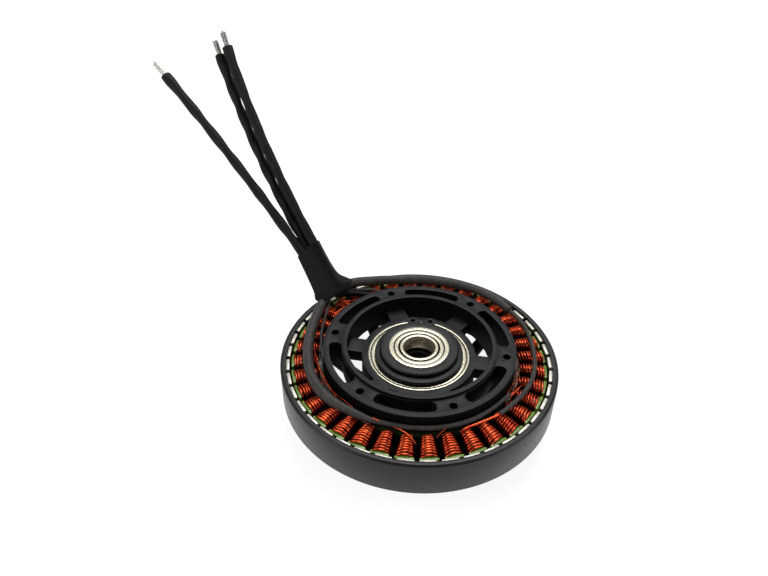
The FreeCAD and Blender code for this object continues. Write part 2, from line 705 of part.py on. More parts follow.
# Routes on the windings: place along the coil as a share of it, angle from +X, and rise above the rest
# as a share of the sleeve
LEFT_SLEEVE = [
    (1.131, 147.2, 0.1), (0.792, 160, 0), (0.504, 179, 0), (0.467, 198, 0),
    (0.460, 215, 0), (0.261, 231, 0), (0.040, 248, 0)]
FRONT_SLEEVE = [
    (-0.071, 249.2, 0), (-0.071, 270, 0), (-0.071, 291, 0), (-0.071, 312, 0), (-0.071, 330, 0)]
RIGHT_SLEEVE = [
    (1.293, 129, 0.45), (1.146, 118, 0), (0.880, 103, 0), (0.866, 86, 0),
    (0.939, 69, 0), (1.043, 52, 0), (0.836, 38, 0)]
BRANCH_SLEEVE = [
    (0.939, 36.8, 0), (0.939, 23, 0), (0.748, 5, 0), (0.689, -11, 0), (0.350, -29, 0), (0.158, -44.3, 0)]
LINK_WIRE = [(0.187, -45.6, 0), (0.114, -56, 0), (0.128, -66.3, 0)]


def oval_wire(place, width, thickness):
    """Return a flat oval with eight straight sides, as a closed wire."""
    side, top = width / 2, thickness / 2
    corners = [(top - side, -top), (side - top, -top), (side, -top / 2), (side, top / 2),
               (side - top, top), (top - side, top), (-side, top / 2), (-side, -top / 2)]
    points = [place.multVec(Vector(across, up, 0)) for across, up in corners]
    return Part.makePolygon(points + points[:1])


def from_windings(offset):
    """Return the point at an offset from where the phase leads leave the windings."""
    turn = math.radians(value("lead_angle"))
    radius = value("coil_outer_radius")
    root = Vector(radius * math.cos(turn), radius * math.sin(turn), value("windings_top"))
    return root + Vector(*offset)


def make_lead_collar():
    """Shrunk collar that gathers the phase leads and spreads over the windings."""
    along = Vector(COLLAR_AXIS).normalize()
    third = along.cross(COLLAR_ACROSS).normalize()
    facing = Rotation(third.cross(along), third, along, "ZXY")
    wires = [oval_wire(Placement(from_windings(centre), facing), width, thickness)
             for centre, width, thickness in COLLAR_SECTIONS]
    return made_of("lead_collar", Part.makeLoft(wires, True, True))


def make_leads():
    """Sleeved phase leads and their tinned ends."""
    leads, tips = [], []
    for label, route in LEAD_ROUTES.items():
        points = [from_windings(offset) for offset in route]
        leads.append(make_tube(label, points, value("lead_diameter")))
        way = (points[-1] - points[-2]).normalize()
        tip = Part.Face(cord_section(points[-1], way, value("tip_diameter")))
        tips.append(tip.extrude(way * value("tip_length")))
    return leads + [made_of("lead_tips", Part.makeCompound(tips))]


def on_windings(route, diameter):
    """Return the points of a route that lies on the coils."""
    rest = value("stack_top + coil_inner_rise + harness_rest") + diameter / 2
    rise_along = value("coil_outer_rise - coil_inner_rise")
    points = []
    for share, angle, lift in route:
        radius = value("coil_inner_radius") + share * value("coil_length")
        turn = math.radians(angle)
        height = rest + share * rise_along + lift * diameter
        points.append(Vector(radius * math.cos(turn), radius * math.sin(turn), height))
    return points


def make_harness():
    """Sleeved bundles and link wires that lie on the windings."""
    pieces = []
    for label, route, size in (
            ("left_sleeve", LEFT_SLEEVE, "sleeve_diameter"),
            ("front_sleeve", FRONT_SLEEVE, "thin_sleeve_diameter"),
            ("right_sleeve", RIGHT_SLEEVE, "sleeve_diameter"),
            ("branch_sleeve", BRANCH_SLEEVE, "thin_sleeve_diameter"),
            ("link_wire", LINK_WIRE, "wire_diameter")):
        diameter = value(size)
        pieces.append(make_tube(label, on_windings(route, diameter), diameter))
    return pieces


parts = [
    make_rotor_ring(),
    make_magnets(),
    make_rotor_spider(),
    make_stator_hub(),
    make_stator_core(),
    *make_phase_coils(),
    *make_bearing("upper_thin", "thin_bore_radius", "thin", "thin_upper_bottom"),
    *make_bearing("lower_thin", "thin_bore_radius", "thin", "thin_lower_bottom"),
    *make_bearing("upper_axle", "axle_radius", "axle", "axle_upper_bottom"),
    *make_bearing("lower_axle", "axle_radius", "axle", "axle_recess"),
    make_washer("axle_spacer", "axle_radius + spacer_gap", "axle_radius + spacer_gap + spacer_wall",
                "axle_lower_top", "(axle_upper_bottom - axle_lower_top)"),
    make_circlip(),
    make_lead_collar(),
    *make_leads(),
    *make_harness(),
]
doc.recompute()

failed = [item.Label for item in doc.Objects if "Invalid" in item.State or "Error" in item.State]
if failed:
    raise RuntimeError("objects that failed: " + ", ".join(failed))
for part in parts:
    if part.Shape.isNull() or not part.Shape.isValid() or not part.Shape.Solids:
        raise RuntimeError("unsound shape: " + part.Label)

os.makedirs("parts", exist_ok=True)
for part in parts:
    part.Shape.exportStep(f"parts/{part.Label}.step")
    print(f"{part.Label}: {len(part.Shape.Solids)} solids, volume {part.Shape.Volume:.1f}")
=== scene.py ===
# %% [markdown]
# # Dressing a direct drive motor
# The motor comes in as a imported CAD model: every piece is already in its place, in metres, with
# the motor axis on Z. This lesson gives each piece the look of the real one. A piece either keeps
# its solid and gets a finish, or a finer piece is modelled over the solid and stands for it.

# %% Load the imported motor
import math
import random

import bpy
from mathutils import Matrix, Vector


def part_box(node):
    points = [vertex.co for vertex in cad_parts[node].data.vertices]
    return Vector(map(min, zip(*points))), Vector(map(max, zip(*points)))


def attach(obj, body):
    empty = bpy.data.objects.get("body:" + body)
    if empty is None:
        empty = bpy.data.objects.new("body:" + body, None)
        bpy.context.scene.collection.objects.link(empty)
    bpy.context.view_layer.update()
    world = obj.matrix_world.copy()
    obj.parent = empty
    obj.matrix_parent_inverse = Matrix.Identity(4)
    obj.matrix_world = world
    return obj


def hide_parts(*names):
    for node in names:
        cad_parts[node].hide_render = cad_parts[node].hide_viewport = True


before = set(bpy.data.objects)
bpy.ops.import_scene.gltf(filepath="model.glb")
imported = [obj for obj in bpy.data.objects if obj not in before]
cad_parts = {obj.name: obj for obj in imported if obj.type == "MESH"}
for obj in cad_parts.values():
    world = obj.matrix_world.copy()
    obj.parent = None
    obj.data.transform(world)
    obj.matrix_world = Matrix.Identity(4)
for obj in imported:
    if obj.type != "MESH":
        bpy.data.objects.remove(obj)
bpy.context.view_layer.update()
MM = 0.001
print("pieces of the motor:", len(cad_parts))


# %% [markdown]
# Most pieces are round about the motor axis, so a radius and two heights say where they are. They
# are read from the boxes of the CAD nodes, in millimetres, and nothing has to be typed twice.

# %% Sizes from the frame
def span(node):
    """Return a round node's radius and its lower and upper height, in millimetres."""
    low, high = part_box(node)
    return high[0] / MM, low[2] / MM, high[2] / MM


ring_radius, ring_bottom, ring_top = span("rotor_ring")
core_bottom, core_top = span("stator_core")[1:]
print("ring radius", round(ring_radius, 2), "core top", round(core_top, 2))

# %% [markdown]
# ## Camera
# The photograph was taken from above the front edge, with the leads pointing away to the left. A
# camera is a position and three directions, so its matrix can be filled in by columns: right, up,
# backwards, and the place. That keeps the fitted view exact, where turning the camera by hand
# would only come near it.

# %% Camera
camera_data = bpy.data.cameras.new("photo_camera")
camera_data.sensor_fit = "HORIZONTAL"
camera_data.sensor_width = 36
camera_data.lens = 32.066
camera_data.clip_start = 0.01
camera = bpy.data.objects.new("photo_camera", camera_data)
bpy.context.scene.collection.objects.link(camera)
right = Vector((0.99684024, 0.07872012, 0.01061547))
up = Vector((-0.05617211, 0.60411814, 0.79491255))
back = Vector((0.05616262, -0.79299711, 0.60663114))
place = Vector((0, -0.160652, 0.169947))
rows = [[right[row], up[row], back[row], place[row]] for row in range(3)]
camera.matrix_world = Matrix(rows + [[0, 0, 0, 1]])
bpy.context.scene.camera = camera
print("camera stands", round(place.length, 3), "m from the motor")


# %% [markdown]
# ## A clean selection
# Operators act on whatever is selected, and loading leaves the whole motor selected. So each
# piece starts by leaving edit mode and deselecting everything. A piece that is done gets its
# finish, the body that it moves with, and the names of the solids that it stands for.

# %% Selecting and finishing
def clear_selection():
    """Leave edit mode and select nothing."""
    if bpy.context.object and bpy.context.object.mode != "OBJECT":
        bpy.ops.object.mode_set(mode="OBJECT")
    bpy.ops.object.select_all(action="DESELECT")


def activate(piece):
    """Select one piece alone."""
    clear_selection()
    piece.select_set(True)
    bpy.context.view_layer.objects.active = piece


def coat(piece, *finishes):
    """Give a piece its finishes, the first one on every face."""
    piece.data.materials.clear()
    for finish in finishes:
        piece.data.materials.append(finish)


def complete(piece, body, slot, *nodes):
    """Let a piece move with its body, and stand for solids of the motor."""
    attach(piece, body)
    if nodes:
        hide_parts(*nodes)
    print(piece.name, "has", len(piece.data.polygons), "faces")


def joined(pieces, name):
    """Join pieces into one."""
    clear_selection()
    for piece in pieces:
        piece.select_set(True)
    bpy.context.view_layer.objects.active = pieces[0]
    bpy.ops.object.join()
    bpy.context.object.name = name
    return bpy.context.object


# %% [markdown]
# ## Finishes
# Real surfaces are never one flat colour. A noise texture on the object's own coordinates gives
# each finish small changes of colour and roughness and a little relief, so it stays with the
# piece as it turns. Coordinates are in metres, so a scale of 1000 makes grains of about a
# millimetre.

# %% A speckled finish
DARK_BELOW, LIGHT_ABOVE = 0.3, 0.7
RELIEF_DEPTH = 0.1
GRAIN_DETAIL = 6


def start_finish(name):
    """Make a material and return it with its nodes, links, shader and object coordinates."""
    material = bpy.data.materials.new(name)
    material.use_nodes = True
    nodes = material.node_tree.nodes
    coordinates = nodes.new("ShaderNodeTexCoord").outputs["Object"]
    return material, nodes, material.node_tree.links, nodes["Principled BSDF"], coordinates


def colour_steps(nodes, dark, light):
    """Return a colour ramp from a dark to a light colour."""
    ramp = nodes.new("ShaderNodeValToRGB")
    low, high = ramp.color_ramp.elements
    low.position = DARK_BELOW
    low.color = (*dark, 1)
    high.position = LIGHT_ABOVE
    high.color = (*light, 1)
    return ramp


def follow(nodes, links, source, shader, dark, light, rough, relief):
    """Let colour, roughness and relief follow one pattern, and return the colour's ramp."""
    ramp = colour_steps(nodes, dark, light)
    links.new(source, ramp.inputs["Fac"])
    links.new(ramp.outputs["Color"], shader.inputs["Base Color"])
    spread = nodes.new("ShaderNodeMapRange")
    spread.inputs["To Min"].default_value = rough[0]
    spread.inputs["To Max"].default_value = rough[1]
    links.new(source, spread.inputs["Value"])
    links.new(spread.outputs["Result"], shader.inputs["Roughness"])
    bump = nodes.new("ShaderNodeBump")
    bump.inputs["Strength"].default_value = relief
    bump.inputs["Distance"].default_value = RELIEF_DEPTH * MM
    links.new(source, bump.inputs["Height"])
    links.new(bump.outputs["Normal"], shader.inputs["Normal"])
    return ramp


def grain_of(nodes, links, coordinates, scale):
    """Return a fine noise on the object's coordinates."""
    noise = nodes.new("ShaderNodeTexNoise")
    noise.inputs["Scale"].default_value = scale
    noise.inputs["Detail"].default_value = GRAIN_DETAIL
    links.new(coordinates, noise.inputs["Vector"])
    return noise.outputs["Fac"]


def speckled(name, dark, light, grain, rough, relief, metal=0.0, shine=0.5, glow=0.0):
    """Make a finish with a fine grain."""
    material, nodes, links, shader, coordinates = start_finish(name)
    pattern = grain_of(nodes, links, coordinates, grain)
    follow(nodes, links, pattern, shader, dark, light, rough, relief)
    shader.inputs["Metallic"].default_value = metal
    shader.inputs["Specular IOR Level"].default_value = shine
    shader.inputs["Emission Color"].default_value = (1, 1, 1, 1)
    shader.inputs["Emission Strength"].default_value = glow
    return material


# %% [markdown]
# Turned metal shows fine rings from the lathe. They run round the axis, so the pattern only
# depends on the distance from the axis on a flat face and on the height on a wall. The length of
# the flat part of the coordinates plus the height gives one number for both, and a
# one-dimensional noise of it makes the rings.

# %% A turned finish
LATHE_DETAIL = 4


def axis_distance(nodes, links, coordinates):
    """Return the distance from the motor axis."""
    flatten = nodes.new("ShaderNodeMapping")
    flatten.inputs["Scale"].default_value = (1, 1, 0)
    links.new(coordinates, flatten.inputs["Vector"])
    radius = nodes.new("ShaderNodeVectorMath")
    radius.operation = "LENGTH"
    links.new(flatten.outputs["Vector"], radius.inputs[0])
    return radius.outputs["Value"]


def height_of(nodes, links, coordinates):
    """Return the height above the floor."""
    parts = nodes.new("ShaderNodeSeparateXYZ")
    links.new(coordinates, parts.inputs["Vector"])
    return parts.outputs["Z"]


def turned_finish(name, dark, light, lines, rough, relief, metal=1.0, shine=0.5):
    """Make a finish with rings round the motor axis."""
    material, nodes, links, shader, coordinates = start_finish(name)
    total = nodes.new("ShaderNodeMath")
    total.operation = "ADD"
    links.new(axis_distance(nodes, links, coordinates), total.inputs[0])
    links.new(height_of(nodes, links, coordinates), total.inputs[1])
    noise = nodes.new("ShaderNodeTexNoise")
    noise.noise_dimensions = "1D"
    noise.inputs["Scale"].default_value = lines
    noise.inputs["Detail"].default_value = LATHE_DETAIL
    links.new(total.outputs["Value"], noise.inputs["W"])
    follow(nodes, links, noise.outputs["Fac"], shader, dark, light, rough, relief)
    shader.inputs["Metallic"].default_value = metal
    shader.inputs["Specular IOR Level"].default_value = shine
    return material


# %% [markdown]
# ## Floor and light
# The motor lies on a plain pale floor, lit from below like a product photographer's table, so
# that it stays white under the windows of the motor too. A large plane is enough, with only a
# trace of grain. Broad lamps keep the shadows soft: one above and behind for the flat faces, one
# on each side for the round wall of the ring, and a dim panel behind, which is what the level
# faces mirror towards the camera.

# %% Floor
FLOOR_SIZE = 8
floor_finish = speckled(
    "pale_floor", dark=(0.33, 0.33, 0.33), light=(0.35, 0.35, 0.35),
    grain=40, rough=(0.7, 0.8), relief=0.02, shine=0.1, glow=0.85)
clear_selection()
bpy.ops.mesh.primitive_plane_add(size=FLOOR_SIZE)
floor = bpy.context.object
floor.name = "floor"
coat(floor, floor_finish)
print("floor is", round(floor.dimensions.x, 1), "m wide")


# %% Lamps
AMBIENT = 0.28


def soft_lamp(name, spot, width, power):
    """Hang a square lamp that faces the motor."""
    data = bpy.data.lights.new(name, "AREA")
    data.size = width
    data.energy = power
    lamp = bpy.data.objects.new(name, data)
    lamp.location = spot
    lamp.rotation_euler = (-Vector(spot)).to_track_quat("-Z", "Y").to_euler()
    bpy.context.scene.collection.objects.link(lamp)


soft_lamp("overhead_lamp", spot=(0.05, 0.36, 0.8), width=0.45, power=4.6)
soft_lamp("left_lamp", spot=(-0.7, -0.35, 0.45), width=0.5, power=2.6)
soft_lamp("right_lamp", spot=(0.75, -0.2, 0.35), width=0.5, power=1.8)
soft_lamp("rear_panel", spot=(-0.05, 0.8, 0.66), width=0.7, power=0.9)
world = bpy.data.worlds.new("studio")
world.use_nodes = True
background = world.node_tree.nodes["Background"]
background.inputs["Color"].default_value = (1, 1, 1, 1)
background.inputs["Strength"].default_value = AMBIENT
bpy.context.scene.world = world
bpy.context.scene.view_settings.view_transform = "Standard"
print("lamps hung:", len(bpy.data.lights))


# %% [markdown]
# ## Cords
# A cord follows one smooth line. The few points of its route become the control points of a NURBS
# spline. Blender turns that spline into a row of close points, and a tube is laid along them ring
# by ring, each ring kept square to the line. The tube's radius may change round and along it,
# because a sleeve shrunk over twisted strands is never quite round.

# %% A smooth line from a route
def smooth_line(route, fineness):
    """Return the points of the smooth line that a route's points control."""
    curve = bpy.data.curves.new("route", "CURVE")
    curve.dimensions = "3D"
    spline = curve.splines.new("NURBS")
    spline.points.add(len(route) - 1)
    for control, point in zip(spline.points, route):
        control.co = (point[0] * MM, point[1] * MM, point[2] * MM, 1)
    spline.order_u = 3
    spline.use_endpoint_u = True
    spline.resolution_u = fineness
    holder = bpy.data.objects.new("route", curve)
    line = bpy.data.meshes.new_from_object(holder)
    path = [vertex.co.copy() for vertex in line.vertices]
    bpy.data.objects.remove(holder)
    bpy.data.curves.remove(curve)
    bpy.data.meshes.remove(line)
    return path


# %% A tube along a line
TUBE_EDGE = math.radians(50)


def tube_along(name, path, radius_at, sides):
    """Lay a closed tube along a line. radius_at takes the way along, in metres, and the angle."""
    ways = [(after - before).normalized() for before, after in zip(path, path[1:])]
    ways.append(ways[-1])
    side = ways[0].orthogonal().normalized()
    points, walked = [], 0.0
    for index, (centre, way) in enumerate(zip(path, ways)):
        walked += (centre - path[index - 1]).length if index else 0.0
        side = (side - way * side.dot(way)).normalized()
        other = way.cross(side)
        for step in range(sides):
            turn = 2 * math.pi * step / sides
            reach = radius_at(walked, turn)
            points.append(centre + (side * math.cos(turn) + other * math.sin(turn)) * reach)
    faces = [(ring * sides + step, ring * sides + (step + 1) % sides,
              (ring + 1) * sides + (step + 1) % sides, (ring + 1) * sides + step)
             for ring in range(len(path) - 1) for step in range(sides)]
    faces += [tuple(reversed(range(sides))), tuple(range(len(points) - sides, len(points)))]
    mesh = bpy.data.meshes.new(name)
    mesh.from_pydata(points, [], faces)
    tube = bpy.data.objects.new(name, mesh)
    bpy.context.scene.collection.objects.link(tube)
    activate(tube)
    bpy.ops.object.shade_smooth_by_angle(angle=TUBE_EDGE)
    return tube


def length_of(path):
    """Return the length of a line."""
    return sum((after - before).length for before, after in zip(path, path[1:]))


# %% [markdown]
# ## Phase leads
# Three leads stand out of the collar. Each is a bundle of stiff magnet wires in a black sleeve,
# so it keeps the shape that it was bent to. The strands inside are twisted, which shows as two
# slow lobes that wind along the sleeve. The sleeve's finish is a near-black with a very fine
# weave.

# %% Sleeve of the leads
SWELL, SWELL_RATE, SWELL_CHANGE = 0.03, 610, 233
TAPER_LENGTH = 16
lead_finish = speckled(
    "lead_sleeve_weave", dark=(0.002, 0.002, 0.0023), light=(0.006, 0.006, 0.0065),
    grain=2600, rough=(0.5, 0.68), relief=0.35, shine=0.2)


def twisted(diameter, lobe, pitch, phase):
    """Return a radius with two lobes that wind along the cord, and a slow swelling."""
    def radius_at(walked, turn):
        wind = math.cos(2 * (turn - 2 * math.pi * walked / pitch) + phase)
        swell = math.sin(walked * SWELL_RATE + phase) * math.sin(walked * SWELL_CHANGE)
        return diameter * MM / 2 * (1 + lobe * wind + SWELL * swell)
    return radius_at


def tapered(radius_at, length, share):
    """Return a radius that changes to a share of itself over the last stretch."""
    def drawn(walked, turn):
        left = min((length - walked) / (TAPER_LENGTH * MM), 1)
        return radius_at(walked, turn) * (share + (1 - share) * left)
    return drawn


print("sleeve finish:", lead_finish.name)

# %% Leads
LEAD_DIAMETER, LEAD_SWELL, LEAD_FLARE = 3.1, 1.06, 1.12
LEAD_PHASE = 1.3
# Each lead has its route, how far its lobes stand out, and the length of one winding in metres.
LEADS = {
    "left": ([(-42.6, 34.9, 33.8), (-70.6, 55.6, 61.0), (-96.2, 74.1, 80.6)], 0.08, 0.026),
    "middle": ([(-40.9, 36.8, 34.0), (-53.3, 49.1, 48.5), (-69.6, 69.4, 71.6), (-77.7, 81.6, 86.0)],
               0.1, 0.021),
    "right": ([(-38.6, 36.8, 36.1), (-60.1, 57.5, 63.4), (-74.5, 81.3, 89.2)], 0.07, 0.03),
}
lead_lines = {}
for number, (side, (route, lobe, pitch)) in enumerate(LEADS.items()):
    line = smooth_line(route, fineness=40)
    bundle = twisted(LEAD_DIAMETER * LEAD_SWELL, lobe, pitch, LEAD_PHASE * number)
    radius_at = tapered(bundle, length_of(line), LEAD_FLARE)
    lead = tube_along(f"{side}_lead", line, radius_at, sides=18)
    lead_lines[side] = line
    coat(lead, lead_finish)
    complete(lead, "stator", "lead_sleeve", f"phase_lead_{side}")

# %% [markdown]
# The bare end of a lead is a handful of tinned strands that spread a little. One strand is a thin
# tube. Seven of them, one in the middle and six round it, make an end, and joining them keeps
# each end one piece.

# %% A tinned end
END_STRANDS, STRAND_RING, STRAND_RADIUS = 7, 0.62, 0.33
STATIONS = (-0.8, 1.0, 3.2)
TURN_CHANCE, TIP_CHANCE = 0.2, 0.4
SPREAD_LEAST, SPREAD_MOST = 0.9, 1.5
tin_finish = speckled(
    "tinned_strands", dark=(0.14, 0.135, 0.12), light=(0.64, 0.63, 0.59),
    grain=2200, rough=(0.2, 0.4), relief=0.25, metal=1.0)


def tinned_end(name, line, tip, seed):
    """Make the spread strands at the end of a lead."""
    chance = random.Random(seed)
    way = (line[-1] - line[-2]).normalized()
    side = way.orthogonal().normalized()
    other = way.cross(side)
    strands = []
    for number in range(END_STRANDS):
        turn = math.pi / 3 * number + chance.uniform(-TURN_CHANCE, TURN_CHANCE)
        out = (side * math.cos(turn) + other * math.sin(turn)) * (STRAND_RING if number else 0.0)
        spread = chance.uniform(SPREAD_LEAST, SPREAD_MOST)
        reach = tip + chance.uniform(-TIP_CHANCE, TIP_CHANCE)
        route = [line[-1] / MM + way * along + out * (1 + (spread - 1) * max(along, 0) / reach)
                 for along in (*STATIONS, reach)]
        path = smooth_line(route, fineness=4)
        strands.append(tube_along(name, path, lambda walked, turn: STRAND_RADIUS * MM, sides=8))
    return joined(strands, name)


print("end finish:", tin_finish.name)

# %% Tinned ends
TIP_LENGTHS = {"left": 6.6, "middle": 5.7, "right": 5.9}
END_SEED = 11
for number, side in enumerate(LEADS):
    end = tinned_end(f"{side}_lead_end", lead_lines[side], TIP_LENGTHS[side], END_SEED + number)
    coat(end, tin_finish)
    complete(end, "stator", "tinned_wire", "lead_tips")
    print(side, "lead is", round(length_of(lead_lines[side]) / MM, 1), "mm long")

# %% [markdown]
# ## Collar
# A shrunk collar gathers the leads where they leave the windings. It is a flat tube that widens
# to a hem over the sleeves below it. By hand it is a square with rounded corners that is extruded
# from section to section, each one scaled to its width and thickness, and then subdivided. The
# piece is turned to face along the leads first, so that each scaling is along its own axes. The
# top is inset and pushed down, so that the leads stand in an open mouth. On the right the hem is
# pinched to a point round the sleeve, so the points of that end are pushed together.

# %% Collar sections
collar_finish = speckled(
    "shrunk_collar", dark=(0.0022, 0.0022, 0.003), light=(0.005, 0.005, 0.0066),
    grain=900, rough=(0.42, 0.56), relief=0.25, shine=0.1)
along = Vector((-0.59, 0.48, 0.66)).normalized()
third = along.cross(Vector((0.81, 0.39, 0.44))).normalized()
across = third.cross(along)
facing = Matrix((across, third, along)).transposed()
# Each section has its centre, its width and thickness, and its tilt and swing in degrees.
SECTIONS = [
    ((-30.7, 25.2, 25.4), 9.0, 5.0, 38, 7), ((-30.8, 25.3, 25.6), 13.4, 8.8, 38, 7),
    ((-31.2, 25.6, 26.2), 14.0, 8.8, 36, 6), ((-32.4, 26.4, 26.4), 11.8, 6.8, 24, 3),
    ((-33.6, 27.5, 26.8), 10.2, 5.3, 10, 0), ((-37.0, 31.7, 30.2), 9.5, 4.9, 0, 0),
    ((-40.5, 36.1, 34.3), 9.4, 4.8, 0, 0), ((-40.9, 36.5, 34.8), 9.4, 4.8, 0, 0),
]
print("collar sections:", len(SECTIONS))

# %% Collar cage
CORNER, MOUTH_WALL, MOUTH_DEPTH = 0.27, 0.45, 3.0


def turn_section(tilt, swing, centre):
    """Turn the selected outline about its own width and thickness, in degrees."""
    for axis, angle in (("X", tilt), ("Y", swing)):
        bpy.ops.transform.rotate(value=-math.radians(angle), orient_axis=axis, orient_type="LOCAL",
                                 center_override=Vector(centre) * MM)


clear_selection()
bpy.ops.mesh.primitive_plane_add(
    size=MM, location=Vector(SECTIONS[0][0]) * MM, rotation=facing.to_euler())
collar = bpy.context.object
collar.name = "collar_sleeve"
bpy.ops.object.mode_set(mode="EDIT")
bpy.ops.mesh.select_all(action="SELECT")
bpy.ops.mesh.bevel(offset=CORNER * MM, segments=3, affect="VERTICES")
bpy.ops.mesh.select_all(action="SELECT")
bpy.ops.transform.resize(value=(SECTIONS[0][1], SECTIONS[0][2], 1), orient_type="LOCAL")
for index, (centre, width, thick, tilt, swing) in enumerate(SECTIONS):
    if index == 0:
        turn_section(tilt, swing, centre)
        continue
    before = SECTIONS[index - 1]
    step = (Vector(centre) - Vector(before[0])) * MM
    bpy.ops.mesh.extrude_region_move(TRANSFORM_OT_translate={"value": step})
    turn_section(-before[3], -before[4], centre)
    bpy.ops.transform.resize(value=(width / before[1], thick / before[2], 1), orient_type="LOCAL")
    turn_section(tilt, swing, centre)
bpy.ops.mesh.inset(thickness=MOUTH_WALL * MM)
bpy.ops.mesh.extrude_region_move(TRANSFORM_OT_translate={"value": -along * MOUTH_DEPTH * MM})
bpy.ops.object.mode_set(mode="OBJECT")
print("collar cage has", len(collar.data.vertices), "points")

# %% Collar's pinched end
PINCH_START = 6.0
PINCHES = ((-1, along * 1.4 + across * 1.7), (1, along * -1.1))


def move_points(piece, chosen, step):
    """Move the points of a piece that a test of their place chooses, and return their number."""
    bpy.ops.object.mode_set(mode="EDIT")
    bpy.ops.mesh.select_all(action="DESELECT")
    bpy.ops.object.mode_set(mode="OBJECT")
    for vertex in piece.data.vertices:
        vertex.select = chosen(vertex.co)
    bpy.ops.object.mode_set(mode="EDIT")
    bpy.ops.transform.translate(value=step)
    bpy.ops.object.mode_set(mode="OBJECT")
    return sum(vertex.select for vertex in piece.data.vertices)


def settle():
    """Put the place, turn and size of the selected piece into its mesh."""
    bpy.ops.object.transform_apply(location=True, rotation=True, scale=True)


for side, step in PINCHES:
    count = move_points(collar, lambda spot: spot.x > PINCH_START * MM and spot.y * side > 0, step * MM)
    print("pinched points:", count)

# %% Collar, smoothed
COLLAR_EDGE = math.radians(60)
bpy.ops.object.mode_set(mode="EDIT")
bpy.ops.mesh.select_all(action="SELECT")
bpy.ops.mesh.normals_make_consistent(inside=False)
bpy.ops.object.mode_set(mode="OBJECT")
settle()
smooth = collar.modifiers.new("smooth", "SUBSURF")
smooth.levels = 2
smooth.render_levels = 2
bpy.ops.object.modifier_apply(modifier=smooth.name)
bpy.ops.object.shade_smooth_by_angle(angle=COLLAR_EDGE)
coat(collar, collar_finish)
complete(collar, "stator", "shrink_sleeve", "lead_collar")

# %% [markdown]
# ## Sleeves on the windings
# From the collar two fat sleeves run over the coils, one each way, and thin ones carry on from
# them. They are cords that are tied down, so they are made as the leads are, with a smoother
# surface. A route's point is a radius, an angle and a rise above the coils, which is how one
# would lay them by hand.

# %% Places on the coils
COIL_FOOT, COIL_HEAD = 32.23, 39.01
FOOT_RISE, HEAD_RISE = 1.6, 1.5
SLEEVE_REST = 0.15


def coil_height(radius):
    """Return the height of the coils' tops at a radius."""
    share = (radius - COIL_FOOT) / (COIL_HEAD - COIL_FOOT)
    return core_top + FOOT_RISE + (HEAD_RISE - FOOT_RISE) * share


def on_coils(route, diameter):
    """Return a route's points, given as radius, angle and rise, as places on top of the coils."""
    points = []
    for radius, angle, rise in route:
        turn = math.radians(angle)
        height = coil_height(radius) + SLEEVE_REST + diameter / 2 + rise
        points.append((radius * math.cos(turn), radius * math.sin(turn), height))
    return points


print("coils rise", FOOT_RISE, "to", HEAD_RISE, "mm above the core")

# %% Sleeves
SLEEVE_LOBE, SLEEVE_PITCH = 0.02, 0.03
sleeve_finish = speckled(
    "winding_sleeve", dark=(0.032, 0.029, 0.026), light=(0.055, 0.050, 0.046),
    grain=700, rough=(0.45, 0.6), relief=0.2, shine=0.25)
# Each sleeve has its route, its diameter, and the share of it that is left at the far end.
SLEEVES = {
    "left": ([(42.0, 141.3, 1.2), (40.7, 146.2, -0.15), (37.6, 160, 0), (35.65, 179, 0), (35.4, 198, 0),
              (35.35, 215, 0), (34.0, 231, 0), (32.3, 248, -0.6)], 3.3, 0.55),
    "front": ([(32.3, 246.5, 0.1), (31.75, 249.2, 0), (31.75, 270, 0), (31.75, 291, 0), (31.75, 312, 0),
               (31.75, 330, 0)], 1.5, 0.9),
    "right": ([(39.9, 135.4, 2.4), (41.0, 129, 1.5), (40.0, 118, 0), (38.2, 103, 0), (38.1, 86, 0),
               (38.6, 69, 0), (39.3, 52, 0), (37.9, 38, -0.2)], 3.3, 0.8),
    "branch": ([(38.0, 40.5, 0.7), (38.6, 36.8, 0), (38.4, 24.4, 0), (36.9, 6, 0), (36.5, -11, 0),
                (35.3, -29, 0), (34.0, -44.6, 0)], 1.5, 0.9),
}
for number, (side, (route, diameter, share)) in enumerate(SLEEVES.items()):
    line = smooth_line(on_coils(route, diameter), fineness=24)
    radius_at = tapered(twisted(diameter, SLEEVE_LOBE, SLEEVE_PITCH, number), length_of(line), share)
    sleeve = tube_along(f"{side}_winding_sleeve", line, radius_at, sides=16)
    coat(sleeve, sleeve_finish)
    complete(sleeve, "stator", "harness_sleeve", f"{side}_sleeve")

# %% [markdown]
# ## Windings
# Each tooth carries a coil of enamelled copper wire that spreads towards the pole shoe. One turn
# starts as a torus, whose halves are pulled apart to the height and width of the tooth, which
# leaves its corners round. Turns are made along the tooth, each a little wider than the one
# before and leaning as wire does that is wound by machine, and the last ones slide down towards
# the shoe. Two lower turns fill the gaps at the inner end. There are hundreds of turns, so each
# one has few faces and smooth shading does the rest.

# %% One turn of wire
WIRE, ARCH = 0.74, 0.78
TURN_SEGMENTS, WIRE_SIDES = 12, 6
HALF_SEGMENT = math.radians(15)
STACK_MIDDLE = (core_bottom + core_top) / 2


def wire_turn(along, half_width, half_height, lean):
    """Make one closed turn of wire at its place along the tooth on +X."""
    clear_selection()
    corner = half_width * ARCH
    bpy.ops.mesh.primitive_torus_add(
        major_segments=TURN_SEGMENTS, minor_segments=WIRE_SIDES, major_radius=corner * MM,
        minor_radius=WIRE / 2 * MM, rotation=(0, 0, HALF_SEGMENT))
    settle()
    turn = bpy.context.object
    for axis, reach in enumerate((half_height - corner, half_width - corner)):
        for side in (-1, 1):
            step = [0, 0, 0]
            step[axis] = side * reach * MM
            move_points(turn, lambda spot: spot[axis] * side > 0, step)
    turn.rotation_euler = (0, math.pi / 2, 0)
    settle()
    turn.location = (along * MM, 0, STACK_MIDDLE * MM)
    turn.rotation_euler = (0, lean[0], lean[1])
    settle()
    return turn


